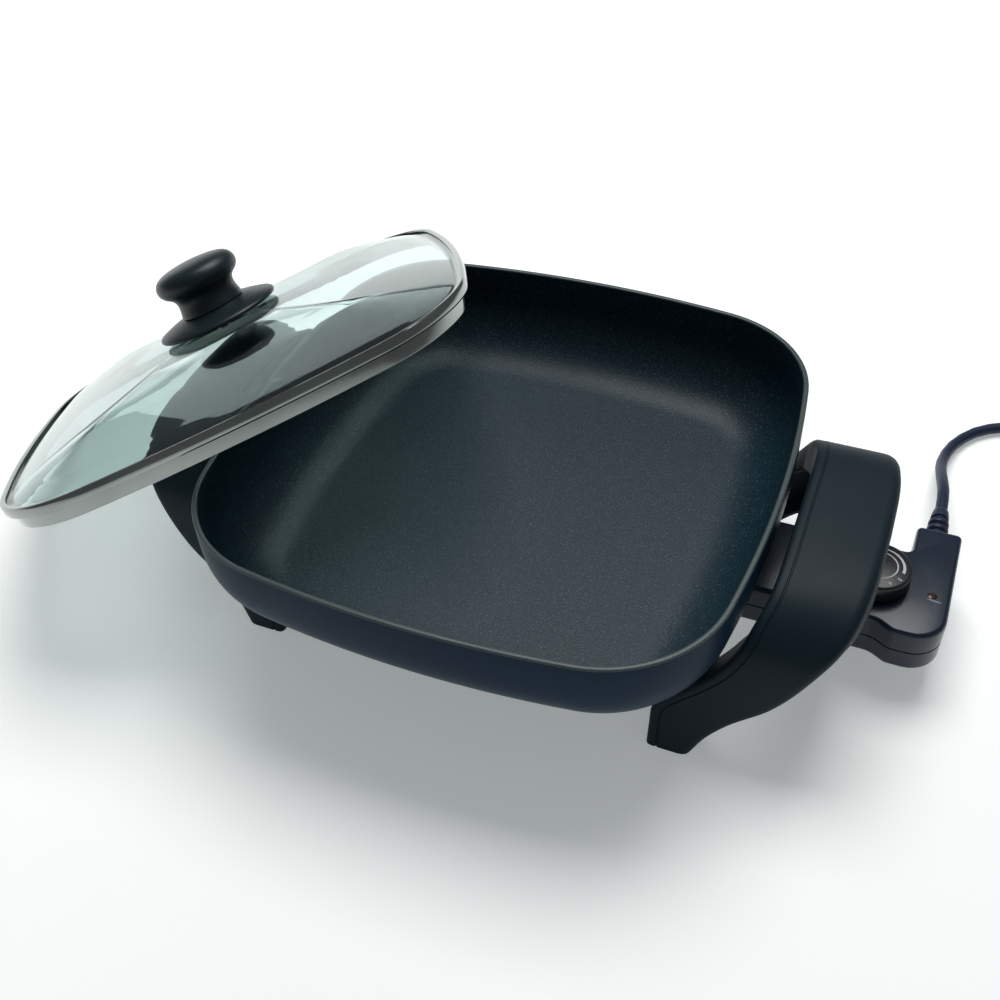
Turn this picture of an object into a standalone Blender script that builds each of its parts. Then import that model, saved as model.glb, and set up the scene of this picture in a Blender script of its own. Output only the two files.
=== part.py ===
"""Square electric frying pan: cast pan on two arched handles with legs, a leaning glass lid,
and a plug-in temperature controller with its supply cord.  Units are metres, +Z is up, +X is
the side that the controller plugs into, -Y is the front.  Every size below is laid out from
the point of the table under the middle of the pan; at the end the whole assembly moves by
ROW_SHIFT, so that the origin is under the middle of the box that holds all but the cord."""

import bpy
import bmesh
from math import atan2, cos, pi, radians, sin, sqrt
from mathutils import Matrix, Vector

# ---------------------------------------------------------------- driving dimensions
PAN_HALF = 0.150              # half the outer width at the rim
PAN_SIDE_RADIUS = 0.6446      # the four sides bow gently outward
PAN_CORNER_RADIUS = 0.0686
RIM_Z = 0.110
PAN_UNDERSIDE_Z = 0.050
PAN_WALL = 0.003
PAN_FLOOR = 0.0035
PAN_FILLET = 0.042            # large round between wall and floor, outside

HANDLE_WALL = 0.0035
LUG = Vector((0.112, 0.070))  # cast lug under each corner that takes a handle screw
TAB_TOP = 0.0470              # moulded tab of the handle under the lug
TAB_THICKNESS = 0.0035
GAP = 0.0003                  # clearance between touching pieces

PROBE_Y = 0.016               # centre line of the controller's arm
PIN_Z = 0.038                 # height of the pins, the sensing rod and its well
PIN_SPREAD = 0.0115
CASE_TOP, CASE_SEAM, CASE_BOTTOM = 0.0470, 0.0325, 0.0190
CASE_WALL = 0.0022
DIAL_CENTRE = Vector((0.203, 0.0165))
CORD_RADIUS = 0.0035

LID_CENTRE = Vector((-0.1966, 0.0312, 0.0913))
LID_TILT = radians(27.68)     # the lid leans on the left wall of the pan
LID_LEAN_TOWARDS = radians(163.80)
LID_SPIN = radians(36.31)     # turned about its own axis
LID_DOME = 0.024

ROW_SHIFT = Vector((0.05506, -0.0279, 0.0))
ARC_STEPS = 5

# ---------------------------------------------------------------- an empty scene
for item in list(bpy.data.objects):
    bpy.data.objects.remove(item, do_unlink=True)


# ---------------------------------------------------------------- materials
def material(name, colour, roughness, metallic=0.0, alpha=1.0):
    made = bpy.data.materials.new(name)
    made.use_nodes = True
    shader = made.node_tree.nodes["Principled BSDF"]
    shader.inputs["Base Color"].default_value = (*colour, 1.0)
    shader.inputs["Roughness"].default_value = roughness
    shader.inputs["Metallic"].default_value = metallic
    shader.inputs["Alpha"].default_value = alpha
    return made


PAN_COATING = material("pan_coating", (0.020, 0.026, 0.034), 0.45)
HANDLE_PLASTIC = material("handle_plastic", (0.012, 0.017, 0.024), 0.38)
KNOB_PLASTIC = material("knob_plastic", (0.010, 0.014, 0.018), 0.35)
CASE_PLASTIC = material("case_plastic", (0.010, 0.014, 0.022), 0.28)
DIAL_PLASTIC = material("dial_plastic", (0.012, 0.014, 0.018), 0.32)
STEEL = material("polished_steel", (0.62, 0.62, 0.60), 0.12, 1.0)
PLATED_STEEL = material("plated_steel", (0.50, 0.50, 0.50), 0.30, 1.0)
ALUMINIUM = material("aluminium", (0.60, 0.61, 0.62), 0.40, 1.0)
BRASS = material("brass", (0.62, 0.45, 0.18), 0.30, 1.0)
CERAMIC = material("ceramic", (0.82, 0.80, 0.74), 0.50)
GLASS = material("lid_glass", (0.72, 0.84, 0.79), 0.03, 0.0, 0.30)
SILICONE = material("silicone", (0.012, 0.014, 0.016), 0.60)
CORD_VINYL = material("cord_vinyl", (0.012, 0.016, 0.030), 0.42)
PHENOLIC = material("phenolic", (0.16, 0.08, 0.04), 0.50)
LENS = material("pilot_lens", (0.75, 0.16, 0.05), 0.15)


# ---------------------------------------------------------------- shape tools
def add_mesh(name, shape, finish, smooth_angle=35.0):
    """Turn a bmesh into a named object with one material and outward faces."""
    bmesh.ops.recalc_face_normals(shape, faces=shape.faces[:])
    mesh = bpy.data.meshes.new(name)
    shape.to_mesh(mesh)
    shape.free()
    mesh.materials.append(finish)
    mesh.shade_smooth()
    mesh.set_sharp_from_angle(angle=radians(smooth_angle))
    made = bpy.data.objects.new(name, mesh)
    bpy.context.scene.collection.objects.link(made)
    return made


def loft(name, rings, finish, closed=False):
    """Skin through rings of equally many points; capped at both ends unless it closes."""
    shape = bmesh.new()
    rows = [[shape.verts.new(point) for point in ring] for ring in rings]
    pairs = list(zip(rows, rows[1:])) + ([(rows[-1], rows[0])] if closed else [])
    for low, high in pairs:
        for i in range(len(low)):
            j = (i + 1) % len(low)
            shape.faces.new((low[i], low[j], high[j], high[i]))
    if not closed:
        shape.faces.new(rows[0][::-1])
        shape.faces.new(rows[-1])
    return add_mesh(name, shape, finish)


def turned(name, profile, finish, segments=24, closed=False):
    """Solid of revolution about Z from (radius, z) points; radius 0 only at the two ends."""
    shape = bmesh.new()
    angles = [2 * pi * k / segments for k in range(segments)]
    rows = []
    for radius, z in profile:
        if radius == 0:
            rows.append([shape.verts.new((0, 0, z))])
        else:
            rows.append([shape.verts.new((radius * cos(a), radius * sin(a), z)) for a in angles])
    pairs = list(zip(rows, rows[1:])) + ([(rows[-1], rows[0])] if closed else [])
    for low, high in pairs:
        for i in range(segments):
            j = (i + 1) % segments
            corners = [low[i % len(low)], low[j % len(low)], high[j % len(high)], high[i % len(high)]]
            unique = list(dict.fromkeys(corners))
            shape.faces.new(unique)
    return add_mesh(name, shape, finish)


def cylinder(name, radius, low, high, finish, segments=20):
    return turned(name, [(0, low), (radius, low), (radius, high), (0, high)], finish, segments)


def block(name, low, high, finish):
    (x0, y0, z0), (x1, y1, z1) = low, high
    outline = [(x0, y0), (x1, y0), (x1, y1), (x0, y1)]
    return loft(name, [[(x, y, z) for x, y in outline] for z in (z0, z1)], finish)


def along_x(made, x, y, z):
    """Lay a piece turned about Z along +X, its own z = 0 at the given point."""
    made.matrix_world = Matrix.Translation((x, y, z)) @ Matrix.Rotation(pi / 2, 4, "Y")
    return made


def placed(made, x, y, z):
    made.location = (x, y, z)
    return made


def apply_boolean(target, cutter, operation, solver):
    """Cut or join, then drop the cutter, so that the target holds its final mesh."""
    bpy.context.view_layer.update()
    step = target.modifiers.new(operation.lower(), "BOOLEAN")
    step.operation = operation
    step.solver = solver
    step.object = cutter
    graph = bpy.context.evaluated_depsgraph_get()
    result = bpy.data.meshes.new_from_object(target.evaluated_get(graph))
    target.modifiers.clear()
    target.data = result
    bpy.data.objects.remove(cutter, do_unlink=True)


def cut(target, *cutters, solver="EXACT"):
    for cutter in cutters:
        apply_boolean(target, cutter, "DIFFERENCE", solver)


def join(target, *others, solver="EXACT"):
    for other in others:
        apply_boolean(target, other, "UNION", solver)


# ---------------------------------------------------------------- outlines
def bowed_square(inset, steps=ARC_STEPS):
    """Pan outline moved in by inset: four bowed sides joined by round corners."""
    side = PAN_SIDE_RADIUS - inset
    corner = PAN_CORNER_RADIUS - inset
    side_centre = PAN_HALF - PAN_SIDE_RADIUS
    gap = PAN_SIDE_RADIUS - PAN_CORNER_RADIUS
    corner_centre = (side_centre + sqrt(2 * gap * gap - side_centre ** 2)) / 2
    turn = atan2(corner_centre, corner_centre - side_centre)
    quarter = []
    for k in range(steps):
        angle = -turn + 2 * turn * k / steps
        quarter.append((side_centre + side * cos(angle), side * sin(angle)))
    for k in range(steps + 2):
        angle = turn + (pi / 2 - 2 * turn) * k / (steps + 2)
        quarter.append((corner_centre + corner * cos(angle), corner_centre + corner * sin(angle)))
    points = list(quarter)
    for _ in range(3):
        quarter = [(-y, x) for x, y in quarter]
        points += quarter
    return points


def bowed_rings(profile):
    """Rings of the pan outline for (inset, z) pairs."""
    return [[(x, y, z) for x, y in bowed_square(inset)] for inset, z in profile]


def rounded_polygon(corners, inset=0.0, steps=4):
    """Outline of (x, y, radius) corners, anticlockwise, moved in by inset."""
    count = len(corners)
    points = []
    for k in range(count):
        before, here, after = (Vector(corners[(k + d) % count][:2]) for d in (-1, 0, 1))
        arriving = (here - before).normalized()
        leaving = (after - here).normalized()
        normal_in = Vector((-arriving.y, arriving.x))
        normal_out = Vector((-leaving.y, leaving.x))
        turn = arriving.cross(leaving)
        mitre = (normal_in + normal_out) / (1 + normal_in.dot(normal_out))
        corner = here + mitre * inset
        radius = corners[k][2] + (-inset if turn > 0 else inset)
        radius = max(radius, 0.0004)
        centre = corner + mitre * radius * (1 if turn > 0 else -1)
        start = centre - normal_in * radius * (1 if turn > 0 else -1)
        spread = -arriving.angle_signed(leaving)
        arm = start - centre
        for step in range(steps + 1):
            angle = spread * step / steps
            points.append((centre.x + arm.x * cos(angle) - arm.y * sin(angle),
                           centre.y + arm.x * sin(angle) + arm.y * cos(angle)))
    return points


def spline(points, count):
    """Even walk along a smooth curve through control points of any dimension."""
    rows = [points[0]] + list(points) + [points[-1]]
    dense = []
    for a, b, c, d in zip(rows, rows[1:], rows[2:], rows[3:]):
        for k in range(12):
            t = k / 12
            dense.append([0.5 * (2 * q + (r - p) * t + (2 * p - 5 * q + 4 * r - s) * t * t
                                 + (3 * q - p - 3 * r + s) * t ** 3)
                          for p, q, r, s in zip(a, b, c, d)])
    dense.append(list(points[-1]))
    lengths = [0.0]
    for a, b in zip(dense, dense[1:]):
        lengths.append(lengths[-1] + sqrt(sum((q - p) ** 2 for p, q in zip(a, b))))
    walk = []
    index = 0
    for k in range(count):
        target = lengths[-1] * k / (count - 1)
        while index < len(dense) - 2 and lengths[index + 1] < target:
            index += 1
        span = lengths[index + 1] - lengths[index]
        t = (target - lengths[index]) / span
        walk.append([p + (q - p) * t for p, q in zip(dense[index], dense[index + 1])])
    return walk


def rounded_route(corners, steps=6):
    """3-D route through (point, radius) corners, each turned with an arc-like bend."""
    points = [Vector(corners[0][0])]
    for (a, _), (b, radius), (c, _) in zip(corners, corners[1:], corners[2:]):
        a, b, c = Vector(a), Vector(b), Vector(c)
        first = (a - b).normalized()
        second = (c - b).normalized()
        half = (pi - first.angle(second)) / 2
        reach = radius * sin(half) / cos(half)
        centre = b + (first + second).normalized() * radius / cos(half)
        start = b + first * reach - centre
        side = b + second * reach - centre
        across = (side - start * cos(2 * half)) / sin(2 * half)
        for k in range(steps + 1):
            angle = 2 * half * k / steps
            points.append(centre + start * cos(angle) + across * sin(angle))
    points.append(Vector(corners[-1][0]))
    return points


def tube(name, points, radius, finish, resolution=2):
    """Round bar along points: a poly curve with a bevel and filled caps."""
    data = bpy.data.curves.new(name, "CURVE")
    data.dimensions = "3D"
    data.bevel_depth = radius
    data.bevel_resolution = resolution
    data.use_fill_caps = True
    line = data.splines.new("POLY")
    line.points.add(len(points) - 1)
    for slot, point in zip(line.points, points):
        slot.co = (*point, 1.0)
    data.materials.append(finish)
    made = bpy.data.objects.new(name, data)
    bpy.context.scene.collection.objects.link(made)
    return made


# ---------------------------------------------------------------- pan
def fillet_profile(wall, underside, radius, steps=7):
    """(inset, z) down a wall that turns into the floor with a large round."""
    centre_z = underside + radius
    return [(wall + radius * (1 - cos(a)), centre_z - radius * sin(a))
            for a in (pi / 2 * k / steps for k in range(steps + 1))]


def make_pan():
    """Cast pan: outer body with four lugs and two studs, less the cooking hollow."""
    outer = [(0.0008, RIM_Z), (0.0, RIM_Z - 0.0009)] + fillet_profile(0.0, PAN_UNDERSIDE_Z, PAN_FILLET)
    pan = loft("pan_body", bowed_rings(outer), PAN_COATING)
    for sx in (1, -1):
        for sy in (1, -1):
            lug = cylinder("lug", 0.006, TAB_TOP + GAP, 0.060, PAN_COATING)
            join(pan, placed(lug, sx * LUG.x, sy * LUG.y, 0))
            bore = cylinder("lug_bore", 0.0021, TAB_TOP - 0.001, 0.0520, PAN_COATING, 14)
            cut(pan, placed(bore, sx * LUG.x, sy * LUG.y, 0))
    for y in STUD_ROWS:
        join(pan, placed(cylinder("stud", 0.0019, 0.0432, 0.052, PAN_COATING, 14), STUD_X, y, 0))
    floor_z = PAN_UNDERSIDE_Z + PAN_FLOOR
    inner_fillet = PAN_FILLET - PAN_WALL
    hollow = [(0.0018, RIM_Z + 0.001), (0.0022, RIM_Z), (PAN_WALL, RIM_Z - 0.0009)]
    hollow += fillet_profile(PAN_WALL, floor_z, inner_fillet)
    cut(pan, loft("hollow", bowed_rings(hollow), PAN_COATING))
    return pan


# ---------------------------------------------------------------- heating element and socket
ELEMENT_RADIUS = 0.00375
ELEMENT_Z = PAN_UNDERSIDE_Z - ELEMENT_RADIUS - GAP
ELEMENT_HALF = 0.078
LEAD_END_X = 0.1055
GUARD_BACK_X = 0.1125
STUD_X = 0.1035
STUD_ROWS = (PROBE_Y - 0.0235, PROBE_Y + 0.0235)


def make_element():
    """Tubular heater: one rounded square loop, both ends led out to the socket."""
    h = ELEMENT_HALF
    far, near = PROBE_Y + PIN_SPREAD, PROBE_Y - PIN_SPREAD
    corners = [((LEAD_END_X, far, PIN_Z), 0), ((0.0985, far, PIN_Z), 0.008),
               ((0.0905, far, ELEMENT_Z), 0.007), ((h, far, ELEMENT_Z), 0.0065),
               ((h, h, ELEMENT_Z), 0.034), ((-h, h, ELEMENT_Z), 0.034),
               ((-h, -h, ELEMENT_Z), 0.034), ((h, -h, ELEMENT_Z), 0.034),
               ((h, near, ELEMENT_Z), 0.0065), ((0.0905, near, ELEMENT_Z), 0.007),
               ((0.0985, near, PIN_Z), 0.008), ((LEAD_END_X, near, PIN_Z), 0)]
    return tube("heating_element", rounded_route(corners, 5), ELEMENT_RADIUS, PLATED_STEEL)


def make_socket():
    """Pins with their insulators, the well for the sensing rod, and the sheet guard."""
    for label, y in (("front", PROBE_Y - PIN_SPREAD), ("rear", PROBE_Y + PIN_SPREAD)):
        pin = turned("terminal_pin_" + label,
                     [(0, 0), (0.002, 0), (0.002, 0.038), (0.0012, 0.040), (0, 0.040)],
                     PLATED_STEEL, 16)
        along_x(pin, LEAD_END_X + GAP, y, PIN_Z)
        bush = turned("terminal_insulator_" + label,
                      [(0.0023, 0), (0.0045, 0), (0.0045, 0.012), (0.0023, 0.012)],
                      CERAMIC, 20, closed=True)
        along_x(bush, LEAD_END_X + 0.002, y, PIN_Z)
    well = block("sensor_well", (0.062, PROBE_Y - 0.0065, 0.0315),
                 (0.1045, PROBE_Y + 0.0065, PAN_UNDERSIDE_Z - GAP), ALUMINIUM)
    cut(well, along_x(cylinder("well_bore", 0.0034, 0, 0.05, ALUMINIUM), 0.0645, PROBE_Y, PIN_Z))
    guard = block("socket_guard", (GUARD_BACK_X, PROBE_Y - 0.0275, 0.0215),
                  (0.1268, PROBE_Y + 0.0275, 0.0476), PLATED_STEEL)
    cut(guard, block("guard_mouth", (GUARD_BACK_X + 0.0015, PROBE_Y - 0.0260, 0.0230),
                     (0.1400, PROBE_Y + 0.0260, 0.0461), PLATED_STEEL))
    for y in STUD_ROWS:
        tab = block("tab", (0.0985, y - 0.004, 0.0461), (GUARD_BACK_X + 0.001, y + 0.004, 0.0476),
                    PLATED_STEEL)
        join(guard, tab)
        cut(guard, placed(cylinder("stud_hole", 0.0024, 0.040, 0.052, PLATED_STEEL, 14), STUD_X, y, 0))
    for y, radius in ((PROBE_Y - PIN_SPREAD, 0.0049), (PROBE_Y, 0.0040), (PROBE_Y + PIN_SPREAD, 0.0049)):
        cut(guard, along_x(cylinder("guard_hole", radius, 0, 0.006, PLATED_STEEL),
                           GUARD_BACK_X - 0.002, y, PIN_Z))
    for label, y in zip(("front", "rear"), STUD_ROWS):
        nut = turned("guard_nut_" + label,
                     [(0.0022, 0.0436), (0.0040, 0.0436), (0.0040, 0.0458), (0.0022, 0.0458)],
                     PLATED_STEEL, 6, closed=True)
        placed(nut, STUD_X, y, 0)


# ---------------------------------------------------------------- handles
# Half of the arch from the middle of the crest to the foot:
# distance from the middle, height, inner edge, outer edge, depth of the moulding.
HANDLE_ARCH = [
    (0.0000, 0.1010, 0.1580, 0.2050, 0.022),
    (0.0300, 0.1004, 0.1580, 0.2045, 0.022),
    (0.0480, 0.0985, 0.1575, 0.2030, 0.021),
    (0.0620, 0.0940, 0.1560, 0.2007, 0.020),
    (0.0730, 0.0870, 0.1528, 0.1970, 0.019),
    (0.0805, 0.0780, 0.1496, 0.1917, 0.018),
    (0.0848, 0.0670, 0.1445, 0.1851, 0.017),
    (0.0873, 0.0550, 0.1368, 0.1778, 0.0165),
    (0.0892, 0.0430, 0.1262, 0.1688, 0.016),
    (0.0907, 0.0335, 0.1165, 0.1585, 0.016),
    (0.0922, 0.0255, 0.1105, 0.1500, 0.016),
    (0.0945, 0.0130, 0.1100, 0.1402, 0.016),
    (0.0970, 0.0000, 0.1100, 0.1336, 0.016),
]


def handle_stations(count):
    """Stations along the whole arch, front foot to rear foot, with the inward normal."""
    half = spline(HANDLE_ARCH, count)
    half[-1][1] = 0.0
    front = [(-y, z, inner, outer, depth) for y, z, inner, outer, depth in half[::-1]]
    whole = front + [tuple(row) for row in half[1:]]
    stations = []
    for k, (y, z, inner, outer, depth) in enumerate(whole):
        before, after = whole[max(k - 1, 0)], whole[min(k + 1, len(whole) - 1)]
        run, rise = after[0] - before[0], after[1] - before[1]
        length = sqrt(run * run + rise * rise)
        normal = (rise / length, -run / length)
        if k in (0, len(whole) - 1):
            normal = (-1.0 if y > 0 else 1.0, 0.0)
        stations.append((y, z, inner, outer, depth, normal))
    return stations


def handle_rings(stations, side, margin, first_depth, extra_depth):
    rings = []
    for y, z, inner, outer, depth, (ny, nz) in stations:
        near, far = first_depth, depth + extra_depth
        ring = [(side * x, y + ny * d, z + nz * d)
                for x, d in ((inner + margin, near), (outer - margin, near),
                             (outer - margin, far), (inner + margin, far))]
        rings.append(ring)
    return rings


def make_handle(name, side):
    """Arched band with skirts, open underneath, on two hollow legs with flat soles."""
    stations = handle_stations(13)
    handle = loft(name, handle_rings(stations, side, 0.0, 0.0, 0.0), HANDLE_PLASTIC)
    inside = [row for row in stations if row[1] > 0.004]
    cut(handle, loft("inside", handle_rings(inside, side, HANDLE_WALL, HANDLE_WALL, 0.006),
                     HANDLE_PLASTIC))
    for sy in (1, -1):
        x0, x1 = sorted((side * 0.104, side * 0.1375))
        y0, y1 = sorted((sy * 0.062, sy * 0.0800))
        join(handle, block("tab", (x0, y0, TAB_TOP - TAB_THICKNESS), (x1, y1, TAB_TOP), HANDLE_PLASTIC))
        cut(handle, placed(cylinder("tab_hole", 0.0022, 0.040, 0.050, HANDLE_PLASTIC, 14),
                           side * LUG.x, sy * LUG.y, 0))
    return handle


def make_handle_screws():
    """Pan-head screw through each tab into its lug, four in all."""
    head_top = TAB_TOP - TAB_THICKNESS - GAP
    profile = [(0, head_top - 0.0024), (0.0030, head_top - 0.0024), (0.0038, head_top - 0.0012),
               (0.0038, head_top), (0.0017, head_top), (0.0017, 0.0515), (0, 0.0515)]
    for side, sx in (("right", 1), ("left", -1)):
        for place, sy in (("rear", 1), ("front", -1)):
            screw = turned("handle_screw_%s_%s" % (side, place), profile, PLATED_STEEL, 14)
            placed(screw, sx * LUG.x, sy * LUG.y, 0)


# ---------------------------------------------------------------- lid
GLASS_THICKNESS = 0.0038
GLASS_TOP = 0.0007
KNOB_SEAT = GLASS_TOP + LID_DOME


LID_STEP = 0.27 * LID_DOME    # height of the pressed step round the dome
DOME_START = 0.025            # inset at which the step ends and the dome begins


def dome_height(inset):
    """Height of the dome's upper face at a distance in from the lid's edge."""
    climb = (inset - DOME_START) / (PAN_HALF - DOME_START)
    return LID_STEP + (LID_DOME - LID_STEP) * (1 - (1 - climb) ** 2)


def glass_profile():
    """(inset, height) of the glass's upper face: flat brim, pressed step, shallow dome."""
    rise = [(0.0018, 0.0), (0.0060, 0.04 * LID_STEP), (0.0100, 0.24 * LID_STEP), (0.0150, 0.52 * LID_STEP),
            (0.0205, 0.80 * LID_STEP), (DOME_START, LID_STEP)]
    return rise + [(inset, dome_height(inset)) for inset in (0.042, 0.060)]


def make_lid():
    frame = bpy.data.objects.new("lid_frame", None)
    bpy.context.scene.collection.objects.link(frame)
    lean = Vector((-sin(LID_LEAN_TOWARDS), cos(LID_LEAN_TOWARDS), 0))
    frame.matrix_world = (Matrix.Translation(LID_CENTRE) @ Matrix.Rotation(LID_TILT, 4, lean)
                          @ Matrix.Rotation(LID_SPIN, 4, "Z"))
    pieces = [make_lid_glass(), make_lid_rim()] + make_knob()
    for piece in pieces:
        piece.parent = frame
    return frame


def crown_rings(shift):
    """Rings over the middle of the lid, where the outline fades into circles."""
    rings = []
    square = bowed_square(PAN_CORNER_RADIUS - 0.003)
    for blend, radius in ((0.45, 0.070), (0.80, 0.042), (1.0, 0.018), (1.0, 0.0045)):
        reach = radius / 0.0844
        height = dome_height(PAN_HALF - radius)
        ring = []
        for x, y in square:
            angle = atan2(y, x)
            ring.append((x * reach * (1 - blend) + radius * cos(angle) * blend,
                         y * reach * (1 - blend) + radius * sin(angle) * blend,
                         GLASS_TOP + height + shift))
        rings.append(ring)
    return rings


def make_lid_glass():
    upper = [[(x, y, GLASS_TOP + height) for x, y in bowed_square(inset)]
             for inset, height in glass_profile()]
    lower = [[(x, y, GLASS_TOP + height - GLASS_THICKNESS) for x, y in bowed_square(inset)]
             for inset, height in glass_profile()]
    rings = lower[::-1] + upper + crown_rings(0) + crown_rings(-GLASS_THICKNESS)[::-1]
    return loft("lid_glass", rings, GLASS, closed=True)


def make_lid_rim():
    """Rolled steel band: a channel round the glass and a skirt that drops inside the pan."""
    section = [(0.0036, 0.0011), (0.0036, 0.0019), (0.0012, 0.0020), (0.0, 0.0010), (0.0, -0.0035),
               (0.0010, -0.0043), (0.0040, -0.0045), (0.0042, -0.0125), (0.0050, -0.0125),
               (0.0052, -0.0042), (0.0062, -0.0041), (0.0062, -0.0034), (0.0014, -0.0034),
               (0.0014, 0.0010)]
    return loft("lid_rim", bowed_rings(section), STEEL, closed=True)


def make_knob():
    """Waisted knob on a wide collar, with its seal, washer and screw through the glass."""
    seat = KNOB_SEAT
    gasket = turned("knob_gasket", [(0.0048, seat + GAP), (0.0300, seat + GAP), (0.0300, seat + 0.0016),
                                    (0.0048, seat + 0.0022)], SILICONE, 32, closed=True)
    base = seat + 0.0026
    collar = turned("knob_collar", [(0.0034, base), (0.0330, base - 0.0006), (0.0372, base - 0.0012),
                                    (0.0382, base), (0.0370, base + 0.0014), (0.0300, base + 0.0036),
                                    (0.0215, base + 0.0060), (0.0034, base + 0.0060)],
                    KNOB_PLASTIC, 32, closed=True)
    foot = base + 0.0063
    knob = turned("lid_knob", [(0, foot), (0.0200, foot), (0.0192, foot + 0.0040),
                               (0.0186, foot + 0.0085), (0.0196, foot + 0.0120), (0.0238, foot + 0.0150),
                               (0.0260, foot + 0.0192), (0.0257, foot + 0.0226), (0.0228, foot + 0.0262),
                               (0.0160, foot + 0.0285), (0.0080, foot + 0.0294), (0, foot + 0.0296)],
                  KNOB_PLASTIC, 32)
    underside = seat - GLASS_THICKNESS
    washer = turned("knob_washer", [(0.0024, underside - 0.0018), (0.0110, underside - 0.0018),
                                    (0.0110, underside - GAP), (0.0024, underside - GAP)],
                    STEEL, 24, closed=True)
    head = underside - 0.0021
    screw = turned("knob_screw", [(0, head - 0.0026), (0.0040, head - 0.0022), (0.0045, head - 0.0008),
                                  (0.0045, head), (0.0016, head), (0.0016, foot + 0.012),
                                  (0, foot + 0.012)], PLATED_STEEL, 16)
    bore = turned("knob_bore", [(0, foot - 0.002), (0.0019, foot - 0.002), (0.0019, foot + 0.013),
                                (0, foot + 0.013)], KNOB_PLASTIC, 16)
    cut(knob, bore)
    return [gasket, collar, knob, washer, screw]


# ---------------------------------------------------------------- plug-in controller
CASE_OUTLINE = [
    (0.1280, PROBE_Y - 0.028, 0.003), (0.2080, PROBE_Y - 0.028, 0.012),
    (0.2170, PROBE_Y - 0.033, 0.008), (0.2430, PROBE_Y - 0.033, 0.017),
    (0.2430, PROBE_Y + 0.050, 0.003), (0.2185, PROBE_Y + 0.050, 0.003),
    (0.2185, PROBE_Y + 0.028, 0.004), (0.1280, PROBE_Y + 0.028, 0.003),
]
CASE_SCREWS = (("front", 0.160, PROBE_Y - 0.0215), ("rear", 0.160, PROBE_Y + 0.0215),
               ("end", 0.2355, PROBE_Y + 0.024))
LENS_CENTRE = Vector((0.2330, 0.0140))
RELIEF_X = 0.2300
RELIEF_START_Y = PROBE_Y + 0.050


def case_ring(inset, z):
    return [(x, y, z) for x, y in rounded_polygon(CASE_OUTLINE, inset)]


def case_shell(name, open_z, closed_z):
    """Tray with a rounded rim at its closed side, open at the seam."""
    toward = 1 if closed_z > open_z else -1
    inner_z = closed_z - toward * CASE_WALL
    rings = [case_ring(CASE_WALL + 0.0006, inner_z), case_ring(CASE_WALL, inner_z - toward * 0.0012),
             case_ring(CASE_WALL, open_z), case_ring(0.0, open_z),
             case_ring(0.0, closed_z - toward * 0.0030), case_ring(0.0008, closed_z - toward * 0.0010),
             case_ring(0.0026, closed_z)]
    return loft(name, rings, CASE_PLASTIC)


def relief_hole():
    hole = cylinder("relief_hole", 0.0052, 0, 0.010, CASE_PLASTIC)
    hole.matrix_world = (Matrix.Translation((RELIEF_X, RELIEF_START_Y + 0.004, CASE_SEAM))
                         @ Matrix.Rotation(pi / 2, 4, "X"))
    return hole


def make_case():
    """Two trays screwed together, with posts, holes for the nose, dial, lens and cord."""
    top = case_shell("controller_top_shell", CASE_SEAM + GAP / 2, CASE_TOP)
    bottom = case_shell("controller_bottom_shell", CASE_SEAM - GAP / 2, CASE_BOTTOM)
    screw_profile = [(0, 0.0192), (0.0026, 0.0192), (0.0026, 0.0211), (0.0014, 0.0211),
                     (0.0014, 0.0410), (0, 0.0410)]
    for label, x, y in CASE_SCREWS:
        join(top, placed(cylinder("post", 0.0032, CASE_SEAM + GAP, 0.0460, CASE_PLASTIC, 14), x, y, 0),
             solver="MANIFOLD")
        cut(top, placed(cylinder("bore", 0.0017, 0.0300, 0.0430, CASE_PLASTIC, 14), x, y, 0),
            solver="MANIFOLD")
        join(bottom, placed(cylinder("post", 0.0036, 0.0200, CASE_SEAM - GAP, CASE_PLASTIC, 14), x, y, 0),
             solver="MANIFOLD")
        cut(bottom, placed(cylinder("bore", 0.0017, 0.0180, 0.0340, CASE_PLASTIC, 14), x, y, 0),
            placed(cylinder("recess", 0.0029, 0.0180, 0.0214, CASE_PLASTIC, 14), x, y, 0),
            solver="MANIFOLD")
        placed(turned("case_screw_" + label, screw_profile, PLATED_STEEL, 12), x, y, 0)
    cut(top, placed(cylinder("shaft_hole", 0.0036, 0.040, 0.050, CASE_PLASTIC), *DIAL_CENTRE, 0),
        placed(cylinder("lens_hole", 0.0025, 0.040, 0.050, CASE_PLASTIC, 14), *LENS_CENTRE, 0),
        solver="MANIFOLD")
    for y, radius in ((PROBE_Y - PIN_SPREAD, 0.0036), (PROBE_Y, 0.0034), (PROBE_Y + PIN_SPREAD, 0.0036)):
        cut(top, along_x(cylinder("nose_hole", radius, 0, 0.008, CASE_PLASTIC), 0.124, y, PIN_Z),
            solver="MANIFOLD")
    cut(top, relief_hole(), solver="MANIFOLD")
    cut(bottom, relief_hole(), solver="MANIFOLD")


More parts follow.
